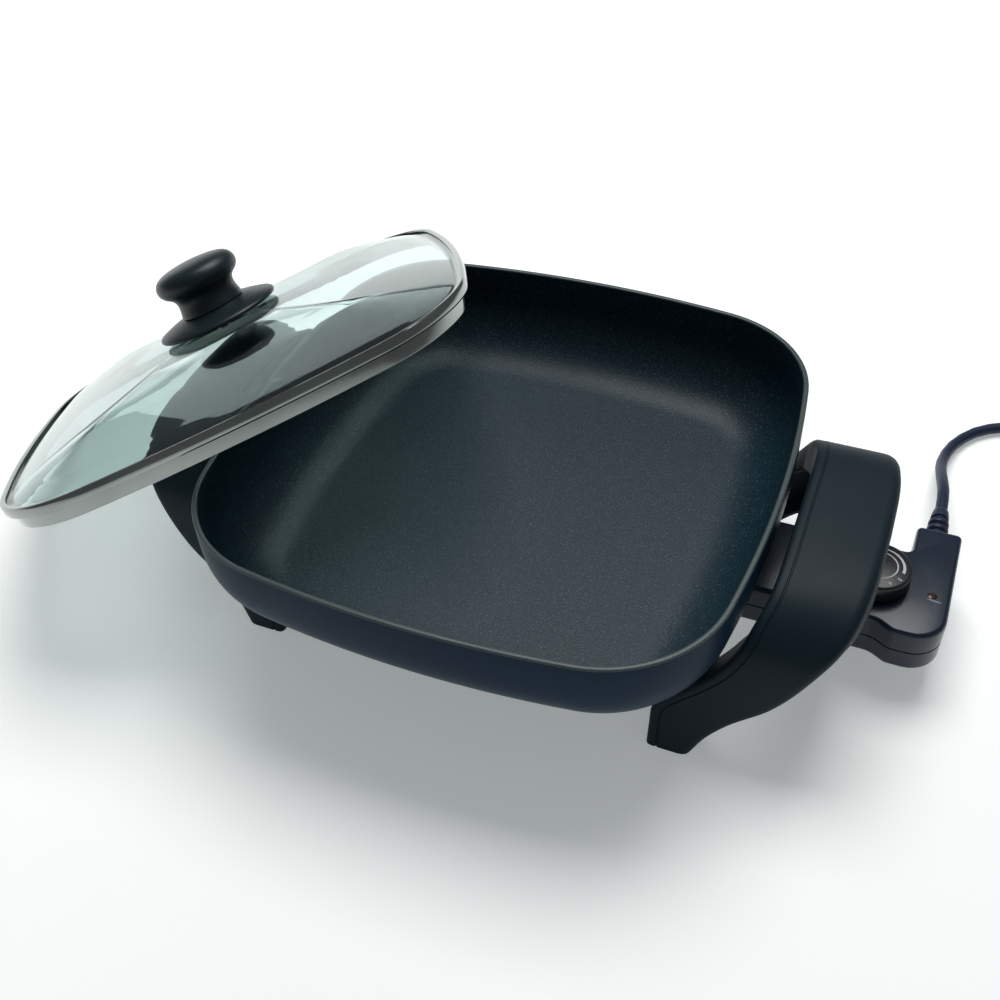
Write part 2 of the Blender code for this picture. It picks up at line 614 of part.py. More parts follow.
def make_controller_insides():
    """Sensing rod, contact sleeves, thermostat block, pilot lamp and its lens."""
    rod = turned("sensor_rod", [(0, 0), (0.0022, 0.0004), (0.0030, 0.0020), (0.0030, 0.0845), (0, 0.0845)],
                 PLATED_STEEL, 18)
    along_x(rod, 0.0675, PROBE_Y, PIN_Z)
    for label, y in (("front", PROBE_Y - PIN_SPREAD), ("rear", PROBE_Y + PIN_SPREAD)):
        sleeve = turned("contact_sleeve_" + label,
                        [(0.00245, 0), (0.0032, 0), (0.0032, 0.0225), (0.00245, 0.0225)],
                        BRASS, 18, closed=True)
        along_x(sleeve, 0.1290, y, PIN_Z)
    block("thermostat_block", (0.1545, PROBE_Y - 0.0165, 0.0216), (0.1965, PROBE_Y + 0.0165, 0.0440),
          PHENOLIC)
    lens = turned("pilot_lens", [(0, 0.0440), (0.0030, 0.0440), (0.0030, 0.0446), (0.0023, 0.0446),
                                 (0.0023, 0.0472), (0.0012, 0.0476), (0, 0.0476)], LENS, 14)
    placed(lens, *LENS_CENTRE, 0)
    lamp = turned("pilot_lamp", [(0, 0), (0.0016, 0), (0.0022, 0.0010), (0.0022, 0.0090), (0.0010, 0.0115),
                                 (0, 0.0115)], CERAMIC, 14)
    lamp.matrix_world = (Matrix.Translation((LENS_CENTRE.x, LENS_CENTRE.y + 0.008, 0.0405))
                         @ Matrix.Rotation(pi / 2, 4, "X"))


def make_dial():
    """Temperature dial and its spindle, both on the dial's axis."""
    dial = turned("temperature_dial", [(0, CASE_TOP + 0.0006), (0.0172, CASE_TOP + 0.0006),
                                       (0.0180, CASE_TOP + 0.0014), (0.0178, CASE_TOP + 0.0092),
                                       (0.0168, CASE_TOP + 0.0106), (0.0120, CASE_TOP + 0.0112),
                                       (0, CASE_TOP + 0.0112)], DIAL_PLASTIC, 36)
    cut(dial, cylinder("dial_bore", 0.0032, CASE_TOP - 0.002, CASE_TOP + 0.0080, DIAL_PLASTIC, 16))
    placed(dial, *DIAL_CENTRE, 0)
    shaft = turned("dial_shaft", [(0, 0.0230), (0.0029, 0.0230), (0.0029, CASE_TOP + 0.0072),
                                  (0, CASE_TOP + 0.0072)], BRASS, 16)
    placed(shaft, *DIAL_CENTRE, 0)


# ---------------------------------------------------------------- cord
RELIEF_LENGTH = 0.0310
CORD_ROUTE = [
    (0.2300, 0.0974, 0.0325), (0.2292, 0.1180, 0.0305), (0.2268, 0.1420, 0.0215),
    (0.2262, 0.1680, 0.0105), (0.2310, 0.1925, 0.0052), (0.2430, 0.2120, 0.0042),
    (0.2600, 0.2235, 0.0042), (0.2770, 0.2265, 0.0046), (0.2910, 0.2268, 0.0050),
]
COIL_CENTRE = Vector((0.3220, 0.1880))
COIL_RADIUS = 0.0385
COIL_HALF_WIDTH = 0.0074
COIL_TOP = 0.0150
TAIL_X = COIL_CENTRE.x + COIL_RADIUS
TAIL_Y = (0.1580, 0.1435)
TAIL_Z = 0.0075


def make_strain_relief():
    """Ribbed boot moulded on the cord, held by its collar inside the case."""
    start = RELIEF_START_Y
    profile = [(0, start - 0.0060), (0.0064, start - 0.0060), (0.0064, start - 0.0028),
               (0.0048, start - 0.0028), (0.0048, start + 0.0006), (0.0062, start + 0.0006)]
    rib = 0.0062
    for k in range(3):
        y = start + 0.0060 + 0.0080 * k
        profile += [(rib, y), (rib - 0.0012, y + 0.0008), (rib - 0.0012, y + 0.0028), (rib - 0.0002, y + 0.0036)]
        rib -= 0.0004
    profile += [(0.0044, start + RELIEF_LENGTH), (0, start + RELIEF_LENGTH)]
    relief = turned("strain_relief", profile, CORD_VINYL, 16)
    relief.matrix_world = (Matrix.Translation((RELIEF_X, 0, CASE_SEAM)) @ Matrix.Rotation(-pi / 2, 4, "X"))


def make_cord():
    """Cord as laid: down to the table, round to the coil, and out to the plug."""
    tube("cord_tube", spline(CORD_ROUTE, 22), CORD_RADIUS, CORD_VINYL)
    low, high = 0.0004, COIL_TOP
    inner, outer = COIL_RADIUS - COIL_HALF_WIDTH, COIL_RADIUS + COIL_HALF_WIDTH
    soft = 0.003
    coil = turned("cord_coil", [(inner + soft, low), (outer - soft, low), (outer, low + soft),
                                (outer, high - soft), (outer - soft, high), (inner + soft, high),
                                (inner, high - soft), (inner, low + soft)], CORD_VINYL, 40, closed=True)
    placed(coil, *COIL_CENTRE, 0)
    tail = [(TAIL_X, TAIL_Y[0], TAIL_Z), (TAIL_X, TAIL_Y[1], TAIL_Z)]
    tube("cord_tail", tail, CORD_RADIUS, CORD_VINYL)


def make_plug():
    """Moulded two-blade plug, lying beside the coil."""
    boot_y, body_y, face_y = TAIL_Y[1] - GAP, 0.1300, 0.1010
    sections = [(boot_y, 0.0045, 0.0045), (body_y, 0.0062, 0.0054), (body_y - 0.0060, 0.0118, 0.0068),
                (face_y + 0.0015, 0.0125, 0.0072), (face_y, 0.0115, 0.0062)]
    rings = []
    for y, wide, tall in sections:
        outline = rounded_polygon([(-wide, -tall, 0.003), (wide, -tall, 0.003),
                                   (wide, tall, 0.003), (-wide, tall, 0.003)], 0.0, 3)
        rings.append([(TAIL_X + x, y, TAIL_Z + z) for x, z in outline])
    loft("plug_body", rings, CORD_VINYL)
    for label, shift in (("left", -0.00635), ("right", 0.00635)):
        block("plug_blade_" + label, (TAIL_X + shift - 0.00075, face_y - 0.0178, TAIL_Z - 0.0031),
              (TAIL_X + shift + 0.00075, face_y - GAP, TAIL_Z + 0.0031), BRASS)


# ---------------------------------------------------------------- the assembly
make_pan()
make_element()
make_socket()
make_handle("right_handle", 1)
make_handle("left_handle", -1)
make_handle_screws()
make_lid()
make_case()
make_controller_insides()
make_dial()
make_strain_relief()
make_cord()
make_plug()
bpy.context.view_layer.update()
for piece in bpy.data.objects:
    if piece.parent is None:
        piece.matrix_world = Matrix.Translation(ROW_SHIFT) @ piece.matrix_world
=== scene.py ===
"""Square electric frying pan with a leaning glass lid, a plug-in temperature controller and its
coiled supply cord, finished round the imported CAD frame.  All sizes are in metres."""

from math import atan2, cos, pi, radians, sin, sqrt, tan

import bmesh
import bpy
from mathutils import Matrix, Vector


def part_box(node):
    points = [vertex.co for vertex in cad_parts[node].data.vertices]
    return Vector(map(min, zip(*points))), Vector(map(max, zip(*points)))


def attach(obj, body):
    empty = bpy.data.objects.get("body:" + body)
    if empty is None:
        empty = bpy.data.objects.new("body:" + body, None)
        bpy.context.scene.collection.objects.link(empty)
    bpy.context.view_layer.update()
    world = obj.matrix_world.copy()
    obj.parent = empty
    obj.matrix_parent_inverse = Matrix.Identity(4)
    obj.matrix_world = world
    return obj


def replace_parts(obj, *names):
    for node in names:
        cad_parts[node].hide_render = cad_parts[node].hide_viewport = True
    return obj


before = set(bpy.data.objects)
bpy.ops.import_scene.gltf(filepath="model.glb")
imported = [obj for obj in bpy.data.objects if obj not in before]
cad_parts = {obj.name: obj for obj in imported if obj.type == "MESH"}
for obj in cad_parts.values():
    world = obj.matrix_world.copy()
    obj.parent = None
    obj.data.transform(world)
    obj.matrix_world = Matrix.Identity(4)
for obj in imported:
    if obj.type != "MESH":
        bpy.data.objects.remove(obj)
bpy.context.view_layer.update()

# ------------------------------------------------------------------ camera
# Set above the front right corner of the pan and looking down at about 44 degrees.
# Every place below is measured from the point of the table under the middle of the pan.
pan_low, pan_high = (Vector(corner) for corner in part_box("pan_body"))
MIDDLE = Vector(((pan_low.x + pan_high.x) / 2, (pan_low.y + pan_high.y) / 2, 0.0))
CAMERA_TURN, CAMERA_RISE, CAMERA_ROLL = radians(24.41), radians(43.76), radians(-3.32)
CAMERA_AIM = MIDDLE + Vector((0.0150, -0.0548, 0.110))
CAMERA_DISTANCE = 0.6071

camera_data = bpy.data.cameras.new("camera")
camera_data.lens = 42.63
camera_data.sensor_width = 36.0
camera_data.clip_start = 0.01
camera = bpy.data.objects.new("camera", camera_data)
bpy.context.scene.collection.objects.link(camera)
back = Vector((sin(CAMERA_TURN) * cos(CAMERA_RISE), -cos(CAMERA_TURN) * cos(CAMERA_RISE), sin(CAMERA_RISE)))
level = (-back).cross(Vector((0, 0, 1))).normalized()
upright = level.cross(-back)
rolled_right = level * cos(CAMERA_ROLL) + upright * sin(CAMERA_ROLL)
rolled_up = upright * cos(CAMERA_ROLL) - level * sin(CAMERA_ROLL)
camera.matrix_world = (Matrix.Translation(CAMERA_AIM + back * CAMERA_DISTANCE)
                       @ Matrix((rolled_right, rolled_up, back)).transposed().to_4x4())
bpy.context.scene.camera = camera

# ------------------------------------------------------------------ supply cord
# Round two-core flex with a soft blue-black vinyl sheath, 7 mm thick and about a metre long.
# It drops from the controller to the table and is wound up in a small coil, ready to store.
CORD_DIAMETER = 0.0070
CORD_WAY = [
    (0.2300, 0.0974, 0.0325), (0.2292, 0.1180, 0.0305), (0.2268, 0.1420, 0.0215),
    (0.2262, 0.1680, 0.0105), (0.2310, 0.1925, 0.0052), (0.2430, 0.2120, 0.0042),
    (0.2600, 0.2235, 0.0042), (0.2770, 0.2265, 0.0046), (0.2910, 0.2268, 0.0050),
]
COIL_CENTRE = Vector((0.3220, 0.1880, 0.0))
COIL_RADIUS = 0.0385
COIL_ENTRY = 128.6            # degrees round the coil at which the cord joins it
COIL_STEP = 12                # degrees between points of the coil
# degrees wound, distance from the coil's centre, height: two turns side by side in two layers
COIL_LAYERS = [
    (40, 0.0422, 0.0039), (300, 0.0422, 0.0039), (350, 0.0348, 0.0039), (600, 0.0348, 0.0039),
    (660, 0.0348, 0.0111), (900, 0.0348, 0.0111), (950, 0.0422, 0.0111), (1205, 0.0422, 0.0111),
]
CORD_END = [
    (0.0408, -0.0100, 0.0111), (0.0397, -0.0190, 0.0109), (0.0389, -0.0265, 0.0095),
    (0.0385, -0.0340, 0.0078), (0.0385, -0.0445, 0.0075),
]


def smooth_line(points, steps):
    """Points along a smooth curve that passes through all the given ones."""
    rows = [Vector(p) for p in points]
    rows = [rows[0] * 2 - rows[1]] + rows + [rows[-1] * 2 - rows[-2]]
    line = []
    for a, b, c, d in zip(rows, rows[1:], rows[2:], rows[3:]):
        for k in range(steps):
            t = k / steps
            line.append(0.5 * (2 * b + (c - a) * t + (2 * a - 5 * b + 4 * c - d) * t * t
                               + (3 * b - a - 3 * c + d) * t ** 3))
    return line + [rows[-2]]


def eased(t):
    return t * t * (3 - 2 * t)


cord_line = [Vector(p) for p in CORD_WAY]
for (start, near, low), (end, far, high) in zip(COIL_LAYERS, COIL_LAYERS[1:]):
    count = max(2, round((end - start) / COIL_STEP))
    for k in range(count):
        part = eased(k / count)
        wound = radians(COIL_ENTRY - start - (end - start) * k / count)
        reach = near + (far - near) * part
        place = Vector((reach * cos(wound), reach * sin(wound), low + (high - low) * part))
        cord_line.append(COIL_CENTRE + place)
cord_line += [COIL_CENTRE + Vector(p) for p in CORD_END]
cord_line = [MIDDLE + p for p in smooth_line(cord_line, 2)]


def surface(name, colour, mottle_colour, mottle, roughness, swing, grain, bump, metallic=0.0, specular=0.5):
    """Principled finish with two close colours, uneven gloss and a fine moulded or cast grain."""
    made = bpy.data.materials.new(name)
    made.use_nodes = True
    nodes, links = made.node_tree.nodes, made.node_tree.links
    shader = nodes["Principled BSDF"]
    shader.inputs["Metallic"].default_value = metallic
    shader.inputs["Specular IOR Level"].default_value = specular
    place = nodes.new("ShaderNodeTexCoord")
    patches = nodes.new("ShaderNodeTexNoise")
    patches.inputs["Scale"].default_value = mottle
    patches.inputs["Detail"].default_value = 4.0
    links.new(place.outputs["Object"], patches.inputs["Vector"])
    colours = nodes.new("ShaderNodeMix")
    colours.data_type = "RGBA"
    colours.inputs["A"].default_value = (*colour, 1.0)
    colours.inputs["B"].default_value = (*mottle_colour, 1.0)
    links.new(patches.outputs["Fac"], colours.inputs["Factor"])
    links.new(colours.outputs["Result"], shader.inputs["Base Color"])
    gloss = nodes.new("ShaderNodeMapRange")
    gloss.inputs["From Min"].default_value = 0.3
    gloss.inputs["From Max"].default_value = 0.7
    gloss.inputs["To Min"].default_value = roughness - swing
    gloss.inputs["To Max"].default_value = roughness + swing
    links.new(patches.outputs["Fac"], gloss.inputs["Value"])
    links.new(gloss.outputs["Result"], shader.inputs["Roughness"])
    fine = nodes.new("ShaderNodeTexNoise")
    fine.name = "grain"
    fine.inputs["Scale"].default_value = grain
    fine.inputs["Detail"].default_value = 3.0
    links.new(place.outputs["Object"], fine.inputs["Vector"])
    relief = nodes.new("ShaderNodeBump")
    relief.name = "relief"
    relief.inputs["Strength"].default_value = bump
    relief.inputs["Distance"].default_value = 0.0004
    links.new(fine.outputs["Fac"], relief.inputs["Height"])
    links.new(relief.outputs["Normal"], shader.inputs["Normal"])
    return made


cord_sheath = surface("cord_sheath", (0.011, 0.019, 0.044), (0.015, 0.026, 0.058),
                      60, 0.46, 0.06, 1500, 0.10, specular=0.3)
cord_shape = bpy.data.curves.new("supply_cord", "CURVE")
cord_shape.dimensions = "3D"
cord_shape.bevel_depth = CORD_DIAMETER / 2
cord_shape.bevel_resolution = 4
cord_shape.use_fill_caps = True
cord_run = cord_shape.splines.new("POLY")
cord_run.points.add(len(cord_line) - 1)
for knot, p in zip(cord_run.points, cord_line):
    knot.co = (*p, 1.0)
cord_run.use_smooth = True
cord_shape.materials.append(cord_sheath)
supply_cord = bpy.data.objects.new("supply_cord", cord_shape)
bpy.context.scene.collection.objects.link(supply_cord)
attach(supply_cord, "controller")
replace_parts(supply_cord, "cord_tube", "cord_coil", "cord_tail")

# ------------------------------------------------------------------ plug
# Flat two-blade plug moulded on the end of the cord, in the same vinyl as its sheath.
# Its waist and two grip grooves are part of the moulding; the blades are stamped brass.
PLUG_START = Vector((COIL_CENTRE.x + COIL_RADIUS, 0.1432, 0.0075))
SQUARENESS = 3.2              # 2 is an ellipse, more is nearer a rectangle
# distance along the plug from the cord, half width, half height
PLUG_WAISTS = [
    (0.0000, 0.0044, 0.0044), (0.0060, 0.0050, 0.0047), (0.0130, 0.0064, 0.0054), (0.0155, 0.0092, 0.0062),
    (0.0185, 0.0114, 0.0068), (0.0240, 0.0118, 0.0069), (0.0250, 0.0111, 0.0064), (0.0262, 0.0111, 0.0064),
    (0.0272, 0.0119, 0.0070), (0.0290, 0.0119, 0.0070), (0.0300, 0.0112, 0.0064), (0.0312, 0.0112, 0.0064),
    (0.0322, 0.0121, 0.0071), (0.0400, 0.0125, 0.0072), (0.0418, 0.0122, 0.0070), (0.0424, 0.0114, 0.0062),
]


def finished(name, mesh, materials, body, smooth=40.0):
    """Close off a bmesh as a named piece that rides on a body."""
    bmesh.ops.remove_doubles(mesh, verts=mesh.verts[:], dist=0.000002)
    bmesh.ops.recalc_face_normals(mesh, faces=mesh.faces[:])
    data = bpy.data.meshes.new(name)
    mesh.to_mesh(data)
    mesh.free()
    for made in materials:
        data.materials.append(made)
    data.shade_smooth()
    data.set_sharp_from_angle(angle=radians(smooth))
    piece = bpy.data.objects.new(name, data)
    bpy.context.scene.collection.objects.link(piece)
    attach(piece, body)
    return piece


def ring_of(mesh, centre, wide, high, segments=28):
    """Round-cornered flat loop across the plug, as wire edges."""
    made = bmesh.ops.create_circle(mesh, cap_ends=False, segments=segments, radius=1.0)["verts"]
    for corner in made:
        x, y = corner.co.x, corner.co.y
        stretch = (abs(x) ** SQUARENESS + abs(y) ** SQUARENESS) ** (-1 / SQUARENESS)
        corner.co = centre + Vector((x * stretch * wide, 0, y * stretch * high))
    return list({edge for corner in made for edge in corner.link_edges})


plug_mesh = bmesh.new()
loops = [ring_of(plug_mesh, MIDDLE + PLUG_START - Vector((0, along, 0)), wide, high)
         for along, wide, high in PLUG_WAISTS]
for first, second in zip(loops, loops[1:]):
    bmesh.ops.bridge_loops(plug_mesh, edges=first + second)
for open_end in (loops[0], loops[-1]):
    bmesh.ops.contextual_create(plug_mesh, geom=open_end)
plug_moulding = finished("plug_moulding", plug_mesh, [cord_sheath], "controller")
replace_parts(plug_moulding, "plug_body")
blade_brass = surface("blade_brass", (0.55, 0.40, 0.16), (0.60, 0.46, 0.20), 80, 0.28, 0.08, 900, 0.05, 1.0)


def refinish(made, *nodes):
    """Give CAD nodes that keep their shape a finished material."""
    for node in nodes:
        for slot_of_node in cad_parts[node].material_slots:
            slot_of_node.material = made


refinish(blade_brass, "plug_blade_left", "plug_blade_right")

# ------------------------------------------------------------------ cord tie
# Narrow black strap that holds the turns together on the coil's far side.
TIE_SIZE = (0.0172, 0.0060, 0.0160)
TIE_THICKNESS = 0.0009
TIE_PLACE = MIDDLE + COIL_CENTRE + Vector((-COIL_RADIUS, 0.0, TIE_SIZE[2] / 2))
tie_mesh = bmesh.new()
bmesh.ops.create_cube(tie_mesh, size=1.0, matrix=Matrix.Diagonal((*TIE_SIZE, 1.0)))
for wall in [f for f in tie_mesh.faces if abs(f.normal.y) > 0.9]:
    bmesh.ops.inset_region(tie_mesh, faces=[wall], thickness=TIE_THICKNESS, use_even_offset=True)
    bmesh.ops.delete(tie_mesh, geom=[wall], context="FACES")
open_edges = [edge for edge in tie_mesh.edges if edge.is_boundary]
bmesh.ops.bridge_loops(tie_mesh, edges=open_edges)
long_edges = [e for e in tie_mesh.edges if abs((e.verts[0].co - e.verts[1].co).y) > TIE_SIZE[1] / 2]
bmesh.ops.bevel(tie_mesh, geom=long_edges, offset=0.0007, offset_type="OFFSET", affect="EDGES",
                segments=3, profile=0.5, material=-1)
bmesh.ops.translate(tie_mesh, verts=tie_mesh.verts[:], vec=TIE_PLACE)
tie_strap = surface("tie_strap", (0.010, 0.010, 0.011), (0.020, 0.020, 0.022), 200, 0.55, 0.08, 2500, 0.25)
cord_tie = finished("cord_tie", tie_mesh, [tie_strap], "controller", 30)

# ------------------------------------------------------------------ strain relief
# Tapered vinyl boot moulded over the cord where it leaves the controller, with three ribs
# that let it bend; its collar is held between the two halves of the case.
RELIEF_PLACE = MIDDLE + Vector((0.2300, 0.0660, 0.0325))
# distance along the boot, radius of the rib
RELIEF_RIBS = [(0.0042, 0.0062), (0.0098, 0.0061), (0.0154, 0.0058)]


def spun(profile, steps=64):
    """Bmesh turned about Z from (radius, height) points."""
    mesh = bmesh.new()
    points = [mesh.verts.new((radius, 0, height)) for radius, height in profile]
    for first, second in zip(points, points[1:]):
        mesh.edges.new((first, second))
    bmesh.ops.spin(mesh, geom=mesh.verts[:] + mesh.edges[:], cent=(0, 0, 0), axis=(0, 0, 1),
                   angle=2 * pi, steps=steps, use_merge=True)
    bmesh.ops.remove_doubles(mesh, verts=mesh.verts[:], dist=0.000001)
    return mesh


relief_line = [(0, -0.0060), (0.0062, -0.0060), (0.0062, -0.0028), (0.0048, -0.0028), (0.0048, 0.0004),
               (0.0058, 0.0006), (0.0062, 0.0012), (0.0060, 0.0034)]
for start, thick in RELIEF_RIBS:
    relief_line += [(thick - 0.0013, start), (thick - 0.0014, start + 0.0012),
                    (thick - 0.0003, start + 0.0017), (thick, start + 0.0022),
                    (thick, start + 0.0043), (thick - 0.0004, start + 0.0049)]
relief_line += [(0.0043, 0.0216), (0.0043, 0.0228), (0.0052, 0.0233), (0.0050, 0.0260), (0.0044, 0.0298),
                (0.0041, 0.0307), (0.0037, 0.0310), (0, 0.0310)]
relief_mesh = spun(relief_line, 40)
bmesh.ops.transform(relief_mesh, verts=relief_mesh.verts[:],
                    matrix=Matrix.Translation(RELIEF_PLACE) @ Matrix.Rotation(-pi / 2, 4, "X"))
relief_boot = finished("relief_boot", relief_mesh, [cord_sheath], "controller", 50)
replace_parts(relief_boot, "strain_relief")

# ------------------------------------------------------------------ pan
# One aluminium casting, 30 cm square with bowed sides and a deep round between wall and floor.
# Baked-on dark speckled coating inside and over the rim, dark blue enamel outside; the rim's lighter colour
# is a painted highlight.
PAN_HALF, SIDE_RADIUS, CORNER_RADIUS = 0.150, 0.6446, 0.0686
RIM_HEIGHT, UNDERSIDE = 0.110, 0.050
WALL, FLOOR, ROUND = 0.0030, 0.0035, 0.042
SIDE_STEPS, CORNER_STEPS = 14, 16
side_centre = PAN_HALF - SIDE_RADIUS
centre_gap = SIDE_RADIUS - CORNER_RADIUS
corner_centre = (side_centre + sqrt(2 * centre_gap ** 2 - side_centre ** 2)) / 2
side_turn = atan2(corner_centre, corner_centre - side_centre)


def pan_outline(mesh, inset, height):
    """Wire loop of the pan's plan outline, moved in by inset, swung from one point."""
    side, corner = SIDE_RADIUS - inset, CORNER_RADIUS - inset
    point = mesh.verts.new((side_centre + side * cos(side_turn), -side * sin(side_turn), height))
    before = set(mesh.edges)
    made = [point]
    for quarter in range(4):
        facing = Matrix.Rotation(quarter * pi / 2, 4, "Z")
        side_arc = (Vector((side_centre, 0, height)), 2 * side_turn, SIDE_STEPS)
        corner_arc = (Vector((corner_centre, corner_centre, height)), pi / 2 - 2 * side_turn, CORNER_STEPS)
        for centre, angle, steps in (side_arc, corner_arc):
            swung = bmesh.ops.spin(mesh, geom=[made[-1]], cent=facing @ centre, axis=(0, 0, 1),
                                   angle=angle, steps=steps, use_merge=False)
            made.append([g for g in swung["geom_last"] if isinstance(g, bmesh.types.BMVert)][0])
    new_edges = [e for e in mesh.edges if e not in before]
    loop_points = {v for e in new_edges for v in e.verts}
    bmesh.ops.remove_doubles(mesh, verts=list(loop_points), dist=0.000001)
    return [e for e in mesh.edges if e not in before]


def outline_shell(mesh, profile, material_of=None, closed=False):
    """Skin between outline loops at (inset, height) pairs; returns the loops."""
    loops = [pan_outline(mesh, inset, height) for inset, height in profile]
    pairs = list(zip(loops, loops[1:])) + ([(loops[-1], loops[0])] if closed else [])
    for number, (first, second) in enumerate(pairs):
        skin = bmesh.ops.bridge_loops(mesh, edges=first + second)["faces"]
        if material_of:
            for face in skin:
                face.material_index = material_of(number)
    return loops


def round_profile(inset, top, radius, steps):
    """(inset, height) pairs down a quarter round from a wall to a floor."""
    return [(inset + radius * (1 - cos(pi / 2 * k / steps)), top - radius * sin(pi / 2 * k / steps))
            for k in range(steps + 1)]


outside = round_profile(0.0, UNDERSIDE + ROUND, ROUND, 18)[::-1]
rim_round = [(0.0, RIM_HEIGHT - 0.0010), (0.0001, RIM_HEIGHT - 0.0006), (0.0004, RIM_HEIGHT - 0.0002),
             (0.0009, RIM_HEIGHT), (0.0021, RIM_HEIGHT), (0.0026, RIM_HEIGHT - 0.0002),
             (0.0029, RIM_HEIGHT - 0.0006), (WALL, RIM_HEIGHT - 0.0010)]
inside = round_profile(WALL, UNDERSIDE + FLOOR + ROUND - WALL, ROUND - WALL, 20)
pan_profile = outside + rim_round + inside
enamel_rows = len(outside)
rim_rows = enamel_rows + len(rim_round) - 1
pan_mesh = bmesh.new()
pan_loops = outline_shell(pan_mesh, pan_profile,
                          lambda row: 1 if row < enamel_rows else (2 if row < rim_rows else 0))
underside_face = bmesh.ops.contextual_create(pan_mesh, geom=pan_loops[0])["faces"][0]
underside_face.material_index = 1
floor_face = bmesh.ops.contextual_create(pan_mesh, geom=pan_loops[-1])["faces"][0]
floor_face.material_index = 0
LUG_RADIUS, LUG_END = 0.0060, 0.0473
STUD_RADIUS, STUD_END = 0.0019, 0.0432
LUG_ROOT = 0.0510
stands = [(x, y, LUG_RADIUS, LUG_END) for x in (0.112, -0.112) for y in (0.070, -0.070)]
stands += [(0.1035, y, STUD_RADIUS, STUD_END) for y in (-0.0075, 0.0395)]
for x, y, radius, low in stands:
    lug = bmesh.ops.create_cone(pan_mesh, cap_ends=True, segments=24, radius1=radius * 0.96, radius2=radius,
                                depth=LUG_ROOT - low, matrix=Matrix.Translation((x, y, (LUG_ROOT + low) / 2)))
    for face in {f for corner in lug["verts"] for f in corner.link_faces}:
        face.material_index = 1
bmesh.ops.translate(pan_mesh, verts=pan_mesh.verts[:], vec=MIDDLE)


def speckled(made, speck_colour, speck_scale, amount):
    """Sprinkle fine light specks over a finish."""
    nodes, links = made.node_tree.nodes, made.node_tree.links
    shader = nodes["Principled BSDF"]
    under = shader.inputs["Base Color"].links[0].from_socket
    place = nodes["Texture Coordinate"]
    specks = nodes.new("ShaderNodeTexNoise")
    specks.inputs["Scale"].default_value = speck_scale
    specks.inputs["Detail"].default_value = 1.0
    links.new(place.outputs["Object"], specks.inputs["Vector"])
    chosen = nodes.new("ShaderNodeMapRange")
    chosen.inputs["From Min"].default_value = 0.60
    chosen.inputs["From Max"].default_value = 0.72
    chosen.inputs["To Max"].default_value = amount
    links.new(specks.outputs["Fac"], chosen.inputs["Value"])
    over = nodes.new("ShaderNodeMix")
    over.data_type = "RGBA"
    over.inputs["B"].default_value = (*speck_colour, 1.0)
    links.new(under, over.inputs["A"])
    links.new(chosen.outputs["Result"], over.inputs["Factor"])
    links.new(over.outputs["Result"], shader.inputs["Base Color"])
    return made


pan_coating = surface("pan_coating", (0.003, 0.016, 0.026), (0.005, 0.021, 0.033),
                      9, 0.40, 0.04, 900, 0.45, specular=0.26)
pan_coating = speckled(pan_coating, (0.055, 0.105, 0.125), 1100, 0.9)
pan_enamel = surface("pan_enamel", (0.004, 0.019, 0.041), (0.007, 0.024, 0.049), 7, 0.36, 0.04, 420, 0.10,
                     specular=0.08)
# Lighter colour on the rim rows: a painted highlight along the rounded rim edge.
rim_painted_highlight = surface("rim_painted_highlight", (0.040, 0.060, 0.064), (0.060, 0.082, 0.084),
                      60, 0.34, 0.05, 900, 0.15, specular=0.3)
pan_casting = finished("pan_casting", pan_mesh, [pan_coating, pan_enamel, rim_painted_highlight],
                       "base", 30)
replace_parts(pan_casting, "pan_body")

# ------------------------------------------------------------------ heating element and socket
# Steel-sheathed heater clamped under the floor, its cold ends in ceramic bushes, and a folded
# zinc-plated guard on two studs round the socket, with a cast well for the sensing rod.
heater_sheath = surface("heater_sheath", (0.14, 0.13, 0.12), (0.22, 0.18, 0.14),
                        45, 0.42, 0.08, 700, 0.20, 1.0)
zinc_plate = surface("zinc_plate", (0.50, 0.50, 0.49), (0.58, 0.58, 0.55), 90, 0.32, 0.08, 800, 0.08, 1.0)
bare_casting = surface("bare_casting", (0.50, 0.51, 0.52), (0.60, 0.61, 0.62),
                       120, 0.48, 0.06, 900, 0.35, 1.0)
bush_ceramic = surface("bush_ceramic", (0.72, 0.69, 0.62), (0.80, 0.77, 0.70), 150, 0.55, 0.06, 1200, 0.15)
refinish(heater_sheath, "heating_element")
refinish(zinc_plate, "terminal_pin_front", "terminal_pin_rear", "socket_guard", "guard_nut_front",
         "guard_nut_rear", "handle_screw_right_front", "handle_screw_right_rear",
         "handle_screw_left_front", "handle_screw_left_rear", "sensor_rod", "case_screw_front",
         "case_screw_rear", "case_screw_end")
refinish(bare_casting, "sensor_well")
refinish(bush_ceramic, "terminal_insulator_front", "terminal_insulator_rear", "pilot_lamp")

# ------------------------------------------------------------------ handles
# Two arched bands moulded in satin phenolic, 47 mm wide at the crest, each with its two legs.
# They are open channels underneath, with a tab at each end screwed to a lug of the pan.
# distance from the middle, height, inner edge, outer edge, depth of the skirts
HANDLE_ARCH = [
    (0.0000, 0.1010, 0.1580, 0.2050, 0.022), (0.0300, 0.1004, 0.1580, 0.2045, 0.022),
    (0.0480, 0.0985, 0.1575, 0.2030, 0.021), (0.0620, 0.0940, 0.1560, 0.2007, 0.020),
    (0.0730, 0.0870, 0.1528, 0.1970, 0.019), (0.0805, 0.0780, 0.1496, 0.1917, 0.018),
    (0.0848, 0.0670, 0.1445, 0.1851, 0.017), (0.0873, 0.0550, 0.1368, 0.1778, 0.0165),
    (0.0892, 0.0430, 0.1262, 0.1688, 0.016), (0.0907, 0.0335, 0.1165, 0.1585, 0.016),
    (0.0922, 0.0255, 0.1105, 0.1500, 0.016), (0.0945, 0.0130, 0.1100, 0.1402, 0.016),
    (0.0970, 0.0000, 0.1100, 0.1336, 0.016),
]
HANDLE_WALL, HANDLE_STATIONS = 0.0035, 40
SOLE_REACH = HANDLE_ARCH[-1][0]
